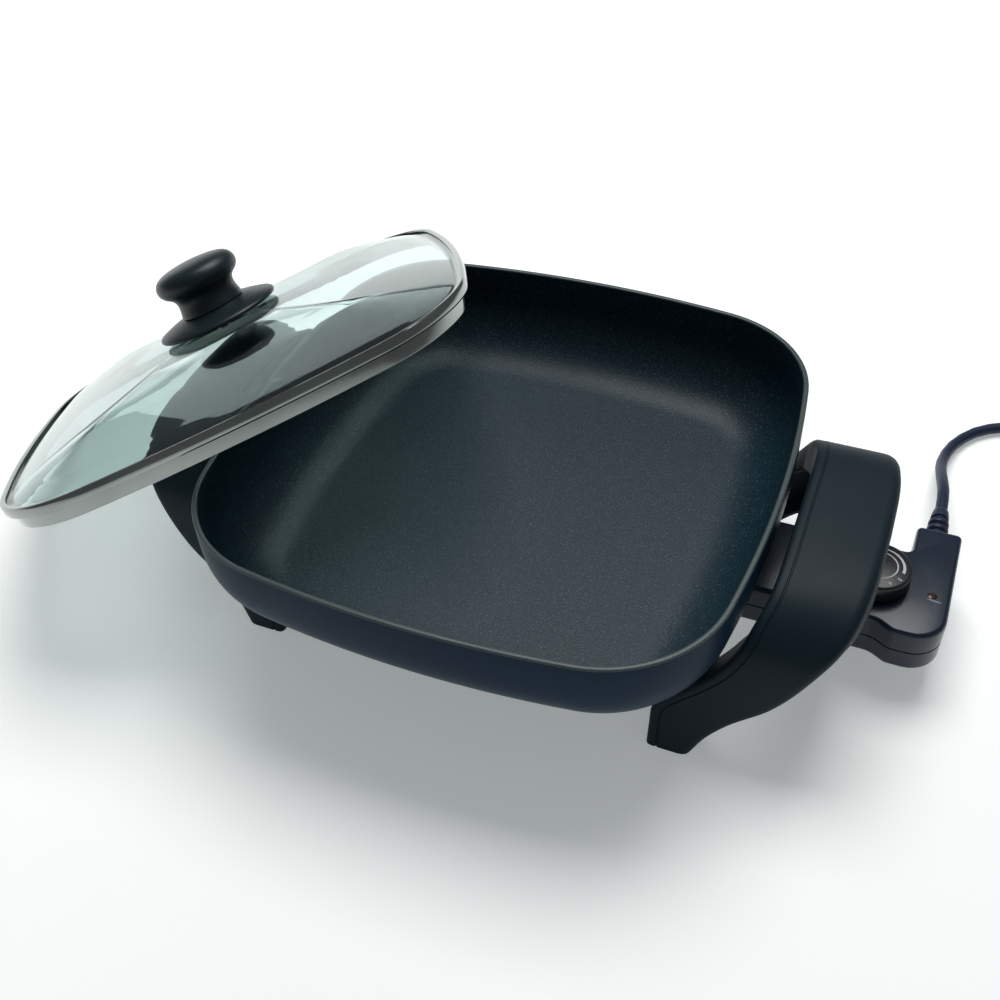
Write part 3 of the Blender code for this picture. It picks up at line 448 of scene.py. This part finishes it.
HANDLE_TAB = ((0.1040, 0.0620, 0.0435), (0.1375, 0.0800, 0.0470))
SOLE_PLATE = ((0.1140, 0.0815, 0.0002), (0.1330, 0.0935, 0.0040))
# the cut face's outer edge from the inner side: distance in, depth below the crest
INNER_SHOULDER = [(0.0, 0.0034), (0.0003, 0.0020), (0.0010, 0.0009), (0.0021, 0.0003), (0.0038, 0.0001),
                  (0.0052, 0.0001), (0.0056, 0.0006), (0.0061, 0.0006), (0.0066, 0.0)]
OUTER_SHOULDER = [(0.0060, 0.0), (0.0036, 0.0003), (0.0018, 0.0011), (0.0006, 0.0024), (0.0, 0.0044)]


def arch_curve(values, count):
    """Even walk along the smooth half arch; rows of five numbers."""
    shape = smooth_line([row[:3] for row in values], 12)
    edges = smooth_line([(*row[3:], 0) for row in values], 12)
    dense = [(*a, b.x, b.y) for a, b in zip(shape, edges)]
    walked = [0.0]
    for a, b in zip(shape, shape[1:]):
        walked.append(walked[-1] + (b - a).length)
    even = []
    for k in range(count + 1):
        target = walked[-1] * k / count
        here = max(i for i in range(len(dense) - 1) if walked[i] <= target + 1e-9)
        part = (target - walked[here]) / (walked[here + 1] - walked[here])
        even.append(tuple(p + (q - p) * part for p, q in zip(dense[here], dense[here + 1])))
    return even


half_arch = arch_curve(HANDLE_ARCH, HANDLE_STATIONS)
whole_arch = [(-y, z, near, far, deep) for y, z, near, far, deep in half_arch[:0:-1]] + half_arch


def channel_section(station, ahead, behind, side):
    """Corners of the channel's cut face at one station of the arch."""
    y, z, near, far, deep = station
    run, rise = ahead[0] - behind[0], ahead[1] - behind[1]
    length = sqrt(run * run + rise * rise)
    inward = Vector((0, rise / length, -run / length))
    if abs(y) > SOLE_REACH - 0.0001:
        inward = Vector((0, -1 if y > 0 else 1, 0))
    wall = HANDLE_WALL
    corners = [(near + into, depth) for into, depth in INNER_SHOULDER]
    corners += [(far - into, depth) for into, depth in OUTER_SHOULDER]
    edge, bead, root = 0.0006, 0.0004, 0.0010
    corners += [(far, deep - edge), (far - edge, deep), (far - wall + bead, deep), (far - wall, deep - bead),
                (far - wall, wall + root), (far - wall - root, wall), (near + wall + root, wall),
                (near + wall, wall + root), (near + wall, deep - bead), (near + wall - bead, deep),
                (near + edge, deep), (near, deep - edge)]
    return [Vector((side * x, y, z)) + inward * depth for x, depth in corners]


def handle_mesh(side):
    """Moulding on one side of the pan, with its two screw tabs and the plates in its soles."""
    mesh = bmesh.new()
    last = len(whole_arch) - 1
    loops = []
    for k, station in enumerate(whole_arch):
        section = channel_section(station, whole_arch[min(k + 1, last)], whole_arch[max(k - 1, 0)], side)
        corners = [mesh.verts.new(corner) for corner in section]
        loops.append([mesh.edges.new((a, b)) for a, b in zip(corners, corners[1:] + corners[:1])])
    for first, second in zip(loops, loops[1:]):
        bmesh.ops.bridge_loops(mesh, edges=first + second)
    for sole in (loops[0], loops[-1]):
        bmesh.ops.contextual_create(mesh, geom=sole)
    for sy in (1, -1):
        for low, high in (HANDLE_TAB, SOLE_PLATE):
            low, high = Vector(low), Vector(high)
            size, centre = high - low, (low + high) / 2
            place = Matrix.Translation((side * centre.x, sy * centre.y, centre.z))
            bmesh.ops.create_cube(mesh, size=1.0, matrix=place @ Matrix.Diagonal((*size, 1)))
    bmesh.ops.translate(mesh, verts=mesh.verts[:], vec=MIDDLE)
    return mesh


handle_phenolic = surface("handle_phenolic", (0.007, 0.016, 0.023), (0.009, 0.020, 0.028),
                          14, 0.48, 0.05, 1100, 0.16, specular=0.13)
HANDLES = (("handle_moulding_right", 1, "right_handle"), ("handle_moulding_left", -1, "left_handle"))
for name, side, node in HANDLES:
    handle = finished(name, handle_mesh(side), [handle_phenolic], "base", 42)
    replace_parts(handle, node)

# ------------------------------------------------------------------ lid glass
# Tempered soda-lime glass, 3.8 mm thick with a green tint, pressed with a flat brim, a raised
# step and a low dome.  The lid leans on the pan's left rim with its outer corner on the table.
LID_CENTRE = MIDDLE + Vector((-0.1966, 0.0312, 0.0913))
LID_TILT, LID_LEAN, LID_SPIN = radians(27.68), radians(163.80), radians(36.31)
LID_DOME, GLASS_TOP, GLASS_THICKNESS = 0.024, 0.0007, 0.0038
DOME_START, BORE_RADIUS = 0.025, 0.0045
CROWN_INSET = CORNER_RADIUS - 0.0030     # leaves a square with corners of 3 mm radius
lean_axis = Vector((-sin(LID_LEAN), cos(LID_LEAN), 0))
lid_place = (Matrix.Translation(LID_CENTRE) @ Matrix.Rotation(LID_TILT, 4, lean_axis)
             @ Matrix.Rotation(LID_SPIN, 4, "Z"))
glass_step = 0.27 * LID_DOME


def dome_height(inset):
    climb = (inset - DOME_START) / (PAN_HALF - DOME_START)
    return glass_step + (LID_DOME - glass_step) * (1 - (1 - climb) ** 2)


step_line = [(0.0018, 0.0), (0.0060, 0.04), (0.0100, 0.24), (0.0150, 0.52), (0.0205, 0.80), (0.0250, 1.0)]
brim = [(p.x, p.y * glass_step) for p in smooth_line([(inset, rise, 0) for inset, rise in step_line], 4)]
crown = [(inset, dome_height(inset)) for inset in (0.030, 0.036, 0.043, 0.050, 0.058, 0.0635)]
upper = [(inset, GLASS_TOP + rise) for inset, rise in brim + crown]
lower = [(inset, height - GLASS_THICKNESS) for inset, height in upper]
glass_mesh = bmesh.new()
edge_round = [(0.0012, GLASS_TOP - 0.0008), (0.0010, GLASS_TOP - 0.0019), (0.0012, GLASS_TOP - 0.0030)]
sheet_loops = outline_shell(glass_mesh, upper[::-1] + edge_round + lower)


def crown_loop(mesh, radius, blend, shift):
    """Loop over the middle of the lid, where the square outline fades into a circle."""
    loop = pan_outline(mesh, CROWN_INSET, 0.0)
    for corner in {v for e in loop for v in e.verts}:
        angle = atan2(corner.co.y, corner.co.x)
        square = corner.co.xy * radius / (PAN_HALF - CROWN_INSET)
        circle = Vector((cos(angle), sin(angle))) * radius
        flat = square.lerp(circle, blend)
        corner.co = (flat.x, flat.y, GLASS_TOP + dome_height(PAN_HALF - radius) + shift)
    return loop


# radius of the ring, how far it has faded from the square outline into a circle
CROWN_RINGS = [(0.0780, 0.22), (0.0700, 0.48), (0.0600, 0.68), (0.0500, 0.84), (0.0400, 0.94), (0.0300, 1.0),
               (0.0200, 1.0), (0.0120, 1.0), (BORE_RADIUS, 1.0)]
bore_edges = []
for shift, meets in ((0.0, sheet_loops[0]), (-GLASS_THICKNESS, sheet_loops[-1])):
    crown_loops = [meets] + [crown_loop(glass_mesh, radius, blend, shift) for radius, blend in CROWN_RINGS]
    for first, second in zip(crown_loops, crown_loops[1:]):
        bmesh.ops.bridge_loops(glass_mesh, edges=first + second)
    bore_edges += crown_loops[-1]
bmesh.ops.bridge_loops(glass_mesh, edges=bore_edges)
bmesh.ops.transform(glass_mesh, verts=glass_mesh.verts[:], matrix=lid_place)

lid_tint = bpy.data.materials.new("lid_tint")
lid_tint.use_nodes = True
nodes, links = lid_tint.node_tree.nodes, lid_tint.node_tree.links
shader = nodes["Principled BSDF"]
shader.inputs["Base Color"].default_value = (0.66, 0.81, 0.78, 1.0)
shader.inputs["Roughness"].default_value = 0.0
shader.inputs["IOR"].default_value = 1.50
shader.inputs["Transmission Weight"].default_value = 1.0
place = nodes.new("ShaderNodeTexCoord")
ripple = nodes.new("ShaderNodeTexNoise")
ripple.inputs["Scale"].default_value = 18.0
ripple.inputs["Detail"].default_value = 1.0
links.new(place.outputs["Object"], ripple.inputs["Vector"])
wave = nodes.new("ShaderNodeBump")
wave.inputs["Strength"].default_value = 0.05
wave.inputs["Distance"].default_value = 0.001
links.new(ripple.outputs["Fac"], wave.inputs["Height"])
links.new(wave.outputs["Normal"], shader.inputs["Normal"])
lid_pane = finished("lid_pane", glass_mesh, [lid_tint], "lid", 60)
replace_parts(lid_pane, "lid_glass")

# ------------------------------------------------------------------ lid band
# Stainless steel strip rolled round the glass: a lip over the brim, a channel round the edge and
# an 8 mm skirt that drops inside the pan.  Buffed bright.
# distance in from the edge, height: the lip, the channel's wall, the skirt, and back inside
band_section = [
    (0.0036, 0.0011), (0.0038, 0.0014), (0.0036, 0.0018), (0.0026, 0.0021), (0.0013, 0.0021),
    (0.0006, 0.0018), (0.0002, 0.0012), (0.0, 0.0005), (0.0, -0.0031), (0.0002, -0.0037),
    (0.0006, -0.0042), (0.0013, -0.0044), (0.0036, -0.0045), (0.0041, -0.0048), (0.0042, -0.0054),
    (0.0042, -0.0119), (0.0043, -0.0123), (0.0046, -0.0125), (0.0049, -0.0123), (0.0050, -0.0119),
    (0.0051, -0.0046), (0.0053, -0.0042), (0.0062, -0.0041), (0.0062, -0.0034), (0.0014, -0.0034),
    (0.0009, -0.0030), (0.0009, 0.0006), (0.0014, 0.0010),
]
band_mesh = bmesh.new()
outline_shell(band_mesh, band_section, closed=True)
bmesh.ops.transform(band_mesh, verts=band_mesh.verts[:], matrix=lid_place)
# The steel is darkened and broken into broad dark and light patches: painted reflection, not a change in the
# metal.
steel_painted_reflections = surface("steel_painted_reflections", (0.15, 0.165, 0.16), (0.44, 0.47, 0.45),
                       14, 0.11, 0.05, 260, 0.04, 1.0)
lid_band = finished("lid_band", band_mesh, [steel_painted_reflections], "lid", 32)
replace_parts(lid_band, "lid_rim")
refinish(steel_painted_reflections, "knob_washer")
refinish(zinc_plate, "knob_screw")

# ------------------------------------------------------------------ lid knob
# Waisted mushroom knob on a wide flat collar, both moulded in black phenolic, with a silicone
# seal against the glass.  One screw through the glass holds them all.
knob_seat = GLASS_TOP + LID_DOME
collar_base = knob_seat + 0.0026
knob_foot = collar_base + 0.0063
knob_line = [(0, knob_foot), (0.0196, knob_foot), (0.0200, knob_foot + 0.0004)]
KNOB_WAIST = [(0.0197, 0.0020), (0.0188, 0.0060), (0.0188, 0.0098), (0.0204, 0.0128), (0.0238, 0.0154),
              (0.0258, 0.0186), (0.0258, 0.0222), (0.0236, 0.0257), (0.0190, 0.0279), (0.0120, 0.0291),
              (0.0055, 0.0295)]
knob_side = smooth_line([(radius, knob_foot + height, 0) for radius, height in KNOB_WAIST], 4)
knob_line += [(p.x, p.y) for p in knob_side] + [(0, knob_foot + 0.0296)]
collar_line = [(radius, collar_base + height) for radius, height in (
    (0.0034, 0.0), (0.0330, -0.0006), (0.0368, -0.0013), (0.0376, -0.0012), (0.0381, -0.0006),
    (0.0382, 0.0001), (0.0378, 0.0009), (0.0370, 0.0015), (0.0300, 0.0038), (0.0225, 0.0057),
    (0.0216, 0.0060), (0.0034, 0.0060), (0.0034, 0.0))]
seal_line = [(0.0048, knob_seat + 0.0003), (0.0296, knob_seat + 0.0003), (0.0302, knob_seat + 0.0008),
             (0.0300, knob_seat + 0.0015), (0.0048, knob_seat + 0.0021), (0.0048, knob_seat + 0.0003)]
knob_phenolic = surface("knob_phenolic", (0.006, 0.014, 0.018), (0.009, 0.018, 0.023),
                        30, 0.36, 0.05, 1300, 0.14, specular=0.35)
seal_silicone = surface("seal_silicone", (0.012, 0.014, 0.016), (0.020, 0.022, 0.024),
                        80, 0.62, 0.05, 1600, 0.20)
for name, line, made, slot, node in (
        ("knob_grip", knob_line, knob_phenolic, "knob_plastic", "lid_knob"),
        ("knob_shield", collar_line, knob_phenolic, "knob_plastic", "knob_collar"),
        ("knob_seal", seal_line, seal_silicone, "silicone", "knob_gasket")):
    turned = spun(line, 72)
    bmesh.ops.transform(turned, verts=turned.verts[:], matrix=lid_place)
    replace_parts(finished(name, turned, [made], "lid", 38), node)

# ------------------------------------------------------------------ controller case
# Two trays moulded in smooth blue-black plastic and screwed together along a level seam.
# Holes in the nose take the pins and the sensing rod, others the dial's spindle and the lamp.
CASE_TOP, CASE_SEAM, CASE_BOTTOM = 0.0470, 0.0325, 0.0190
CASE_WALL, CASE_ROUND, SEAM_CHAMFER, SEAM_GAP = 0.0022, 0.0030, 0.0004, 0.0003
ROUND_WIDTH = 0.86 * CASE_ROUND          # the edge's round is a little narrower than high
ROUND_STEPS = 6
CASE_CORNERS = [
    (0.1280, -0.0120, 0.003), (0.2080, -0.0120, 0.012), (0.2170, -0.0170, 0.008), (0.2430, -0.0170, 0.017),
    (0.2430, 0.0660, 0.003), (0.2185, 0.0660, 0.003), (0.2185, 0.0440, 0.004), (0.1280, 0.0440, 0.003),
]
PROBE_Y, PIN_Z, PIN_SPREAD = 0.0160, 0.0380, 0.0115
DIAL_PLACE = Vector((0.2030, 0.0165))
LENS_PLACE = Vector((0.2330, 0.0140))


def case_outline(mesh, height):
    """Face in the plan outline of the case, its corners rounded."""
    places = [Vector(corner[:2]) for corner in CASE_CORNERS]
    corners = [mesh.verts.new((*place, height)) for place in places]
    mesh.faces.new(corners)
    for k, corner in enumerate(corners):
        arriving = places[k] - places[k - 1]
        leaving = places[(k + 1) % len(places)] - places[k]
        cut_back = CASE_CORNERS[k][2] * tan(arriving.angle(leaving) / 2)
        bmesh.ops.bevel(mesh, geom=[corner], offset=cut_back, offset_type="OFFSET", affect="VERTICES",
                        segments=7, profile=0.5, material=-1)
    mesh.faces.ensure_lookup_table()
    return mesh.faces[0]


def case_tray(seam, end):
    """Open tray from the seam to its rounded far side, with an even wall."""
    mesh = bmesh.new()
    toward = 1 if end > seam else -1
    top = case_outline(mesh, seam + toward * SEAM_CHAMFER)
    top = bmesh.ops.extrude_discrete_faces(mesh, faces=[top])["faces"][0]
    wall_height = end - seam - toward * (CASE_ROUND + SEAM_CHAMFER)
    bmesh.ops.translate(mesh, verts=top.verts[:], vec=(0, 0, wall_height))
    for k in range(ROUND_STEPS):
        a, b = pi / 2 * k / ROUND_STEPS, pi / 2 * (k + 1) / ROUND_STEPS
        inward = ROUND_WIDTH * (cos(a) - cos(b))
        bmesh.ops.inset_region(mesh, faces=[top], thickness=inward, use_even_offset=True)
        bmesh.ops.translate(mesh, verts=top.verts[:], vec=(0, 0, toward * CASE_ROUND * (sin(b) - sin(a))))
    mouth = bmesh.ops.contextual_create(mesh, geom=[e for e in mesh.edges if e.is_boundary])["faces"][0]
    bmesh.ops.inset_region(mesh, faces=[mouth], thickness=SEAM_CHAMFER, use_even_offset=True)
    bmesh.ops.translate(mesh, verts=mouth.verts[:], vec=(0, 0, -toward * SEAM_CHAMFER))
    bmesh.ops.inset_region(mesh, faces=[mouth], thickness=CASE_WALL - SEAM_CHAMFER, use_even_offset=True)
    mouth = bmesh.ops.extrude_discrete_faces(mesh, faces=[mouth])["faces"][0]
    bmesh.ops.translate(mesh, verts=mouth.verts[:], vec=(0, 0, end - toward * CASE_WALL - seam))
    bmesh.ops.translate(mesh, verts=mesh.verts[:], vec=MIDDLE)
    return mesh


def drill(piece, radius, start, end):
    """Bore a round hole through a piece."""
    start, end = MIDDLE + Vector(start), MIDDLE + Vector(end)
    tool_mesh = bmesh.new()
    turn = (end - start).to_track_quat("Z", "Y").to_matrix().to_4x4()
    bmesh.ops.create_cone(tool_mesh, cap_ends=True, segments=32, radius1=radius, radius2=radius,
                          depth=(end - start).length, matrix=Matrix.Translation((start + end) / 2) @ turn)
    tool_data = bpy.data.meshes.new("tool")
    tool_mesh.to_mesh(tool_data)
    tool_mesh.free()
    tool = bpy.data.objects.new("tool", tool_data)
    bpy.context.scene.collection.objects.link(tool)
    cut = piece.modifiers.new("cut", "BOOLEAN")
    cut.operation, cut.solver, cut.object = "DIFFERENCE", "EXACT", tool
    graph = bpy.context.evaluated_depsgraph_get()
    bored = bpy.data.meshes.new_from_object(piece.evaluated_get(graph))
    piece.modifiers.clear()
    piece.data = bored
    bpy.data.objects.remove(tool, do_unlink=True)


case_plastic = surface("case_plastic", (0.007, 0.015, 0.031), (0.010, 0.020, 0.039),
                       25, 0.26, 0.04, 1400, 0.06, specular=0.4)
NOSE_ROWS = ((-PIN_SPREAD, 0.0036), (0.0, 0.0034), (PIN_SPREAD, 0.0036))
case_holes = [(radius, (0.124, PROBE_Y + aside, PIN_Z), (0.132, PROBE_Y + aside, PIN_Z))
              for aside, radius in NOSE_ROWS]
case_holes += [(radius, (*place, 0.042), (*place, 0.050))
               for radius, place in ((0.0036, DIAL_PLACE), (0.0025, LENS_PLACE))]
cord_hole = (0.0052, (0.2300, 0.060, CASE_SEAM), (0.2300, 0.070, CASE_SEAM))
SCREW_PLACES = ((0.160, PROBE_Y - 0.0215), (0.160, PROBE_Y + 0.0215), (0.2355, PROBE_Y + 0.024))
screw_holes = [(0.0029, (x, y, 0.018), (x, y, 0.0214)) for x, y in SCREW_PLACES]
for name, seam, end, node, holes in (
        ("case_upper", CASE_SEAM + SEAM_GAP / 2, CASE_TOP, "controller_top_shell", case_holes),
        ("case_lower", CASE_SEAM - SEAM_GAP / 2, CASE_BOTTOM, "controller_bottom_shell", screw_holes)):
    tray = finished(name, case_tray(seam, end), [case_plastic], "controller", 38)
    for hole in holes + [cord_hole]:
        drill(tray, *hole)
    tray.data.shade_smooth()
    tray.data.set_sharp_from_angle(angle=radians(38))
    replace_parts(tray, node)

sleeve_brass = surface("sleeve_brass", (0.55, 0.40, 0.16), (0.50, 0.38, 0.17),
                       80, 0.34, 0.06, 900, 0.05, 1.0)
block_phenolic = surface("block_phenolic", (0.16, 0.08, 0.04), (0.20, 0.10, 0.05), 120, 0.5, 0.05, 900, 0.2)
refinish(sleeve_brass, "contact_sleeve_front", "contact_sleeve_rear", "dial_shaft")
refinish(block_phenolic, "thermostat_block")
lens_smoky = surface("lens_smoky", (0.034, 0.013, 0.010), (0.044, 0.016, 0.012), 300, 0.16, 0.03, 500, 0.02)
refinish(lens_smoky, "pilot_lens")
# Pale sliver on the case top beside the lamp's lens: a painted highlight standing in for the glint on a
# shallow recess there.
MARK_SIZE = (0.0038, 0.0006, 1.0, 1.0)
mark_place = Matrix.Translation(MIDDLE + Vector((0.2345, 0.0108, CASE_TOP + 0.00002)))
mark_turn = Matrix.Rotation(radians(-8), 4, "Z")
mark_mesh = bmesh.new()
bmesh.ops.create_circle(mark_mesh, cap_ends=True, segments=32, radius=1.0,
                        matrix=mark_place @ mark_turn @ Matrix.Diagonal(MARK_SIZE))
bmesh.ops.solidify(mark_mesh, geom=mark_mesh.faces[:], thickness=0.00006)
pilot_highlight_paint = surface("pilot_highlight_paint", (0.13, 0.17, 0.20), (0.16, 0.20, 0.24), 300, 0.45, 0.05, 1500, 0.05)
finished("pilot_painted_highlight", mark_mesh, [pilot_highlight_paint], "controller", 30)

# ------------------------------------------------------------------ temperature dial
# Black moulded dial, 36 mm across with a smooth edge, pressed on a brass spindle.
# A white ring, a swelling heat band and plain numbers are printed on its flat top.
dial_place = MIDDLE + Vector((*DIAL_PLACE, CASE_TOP))
dial_line = [(0, 0.0006), (0.0168, 0.0006), (0.0176, 0.0010), (0.0178, 0.0016),
             (0.0178, 0.0094), (0.0175, 0.0103), (0.0169, 0.0109), (0.0160, 0.0112), (0, 0.0112)]
dial_mesh = spun(dial_line, 120)
bmesh.ops.translate(dial_mesh, verts=dial_mesh.verts[:], vec=dial_place)
dial_black = surface("dial_black", (0.008, 0.010, 0.013), (0.012, 0.015, 0.018), 60, 0.30, 0.04, 1500, 0.06)
dial_cap = finished("dial_cap", dial_mesh, [dial_black], "dial", 40)
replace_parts(dial_cap, "temperature_dial")

dial_print = surface("dial_print", (0.74, 0.76, 0.76), (0.66, 0.68, 0.68), 300, 0.45, 0.05, 1500, 0.05)
PRINT_HEIGHT = 0.01125


def printed_band(name, inner, outer, start, sweep, swell=0.0):
    """Thin printed band on the dial; swell widens it along its sweep."""
    mesh = bmesh.new()
    edge = [mesh.verts.new((inner, 0, PRINT_HEIGHT)), mesh.verts.new((outer, 0, PRINT_HEIGHT))]
    mesh.edges.new(edge)
    bmesh.ops.rotate(mesh, verts=edge, cent=(0, 0, 0), matrix=Matrix.Rotation(radians(start), 3, "Z"))
    steps = max(8, int(abs(sweep) / 4))
    bmesh.ops.spin(mesh, geom=mesh.verts[:] + mesh.edges[:], cent=(0, 0, 0), axis=(0, 0, 1),
                   angle=radians(sweep), steps=steps, use_merge=abs(sweep) >= 360)
    for corner in mesh.verts:
        reach = corner.co.xy.length
        if swell and reach > (inner + outer) / 2:
            turned_by = atan2(corner.co.y, corner.co.x) - radians(start)
            along = (turned_by / radians(sweep)) % (2 * pi / abs(radians(sweep)))
            corner.co.xy *= (reach + swell * min(1.0, along)) / reach
    for face in mesh.faces:
        if face.normal.z < 0:
            face.normal_flip()
    bmesh.ops.solidify(mesh, geom=mesh.faces[:], thickness=0.00008)
    bmesh.ops.translate(mesh, verts=mesh.verts[:], vec=dial_place)
    return finished(name, mesh, [dial_print], "dial", 30)


printed_band("dial_ring", 0.0094, 0.0102, 0, 360)
printed_band("dial_heat_band", 0.0124, 0.0127, 165, -175, 0.0013)
SCALE_RADIUS, FIRST_NUMBER, NUMBER_STEP = 0.0138, -132, 25
numbers = [("0", 0.0, 90)]
numbers += [(str(k + 1), SCALE_RADIUS, FIRST_NUMBER + NUMBER_STEP * k) for k in range(5)]
for mark, reach, turned_to in numbers:
    letters = bpy.data.curves.new("dial_number_%s" % mark, "FONT")
    letters.body = mark
    letters.size = 0.0034
    letters.align_x, letters.align_y = "CENTER", "CENTER"
    letters.extrude = 0.00004
    letters.offset = 0.00006
    carrier = bpy.data.objects.new("number", letters)
    bpy.context.scene.collection.objects.link(carrier)
    graph = bpy.context.evaluated_depsgraph_get()
    flat = bpy.data.meshes.new_from_object(carrier.evaluated_get(graph))
    bpy.data.objects.remove(carrier, do_unlink=True)
    number_mesh = bmesh.new()
    number_mesh.from_mesh(flat)
    angle = radians(turned_to)
    number_place = dial_place + Vector((reach * cos(angle), reach * sin(angle), PRINT_HEIGHT))
    bmesh.ops.transform(number_mesh, verts=number_mesh.verts[:],
                        matrix=Matrix.Translation(number_place) @ Matrix.Rotation(angle - pi / 2, 4, "Z"))
    finished("dial_number_%s" % mark, number_mesh, [dial_print], "dial", 30)

# ------------------------------------------------------------------ studio
# Plain pale floor that glows a little, one large soft box overhead and a lower one behind on
# the left, which lights without showing in the glass.
floor_mesh = bmesh.new()
bmesh.ops.create_grid(floor_mesh, x_segments=1, y_segments=1, size=6.0)
floor_data = bpy.data.meshes.new("studio_floor")
floor_mesh.to_mesh(floor_data)
floor_mesh.free()
pale = bpy.data.materials.new("studio_pale")
pale.use_nodes = True
shader = pale.node_tree.nodes["Principled BSDF"]
shader.inputs["Base Color"].default_value = (0.92, 0.93, 0.92, 1.0)
shader.inputs["Roughness"].default_value = 0.85
shader.inputs["Specular IOR Level"].default_value = 0.0
shader.inputs["Emission Color"].default_value = (0.95, 1.0, 1.0, 1.0)
shader.inputs["Emission Strength"].default_value = 0.28
floor_data.materials.append(pale)
studio_floor = bpy.data.objects.new("studio_floor", floor_data)
bpy.context.scene.collection.objects.link(studio_floor)

world = bpy.data.worlds.new("studio_air")
world.use_nodes = True
world.node_tree.nodes["Background"].inputs["Color"].default_value = (0.94, 0.98, 1.0, 1.0)
world.node_tree.nodes["Background"].inputs["Strength"].default_value = 0.15
bpy.context.scene.world = world
bpy.context.scene.view_settings.view_transform = "Standard"
for name, place, target, wide, high, power in (
        ("soft_box_above", (-0.10, 0.70, 1.8), (0, 0, 0.05), 1.3, 1.1, 30.0),
        ("soft_box_behind", (-1.9, 2.1, 0.8), (-0.2, 0, 0.1), 2.0, 1.4, 19.0)):
    lamp = bpy.data.lights.new(name, "AREA")
    lamp.shape, lamp.size, lamp.size_y, lamp.energy = "RECTANGLE", wide, high, power
    lamp_object = bpy.data.objects.new(name, lamp)
    bpy.context.scene.collection.objects.link(lamp_object)
    lamp_object.location = MIDDLE + Vector(place)
    lamp_object.visible_glossy = name == "soft_box_above"
    lamp_object.rotation_mode = "QUATERNION"
    lamp_object.rotation_quaternion = (Vector(place) - Vector(target)).to_track_quat("Z", "Y")
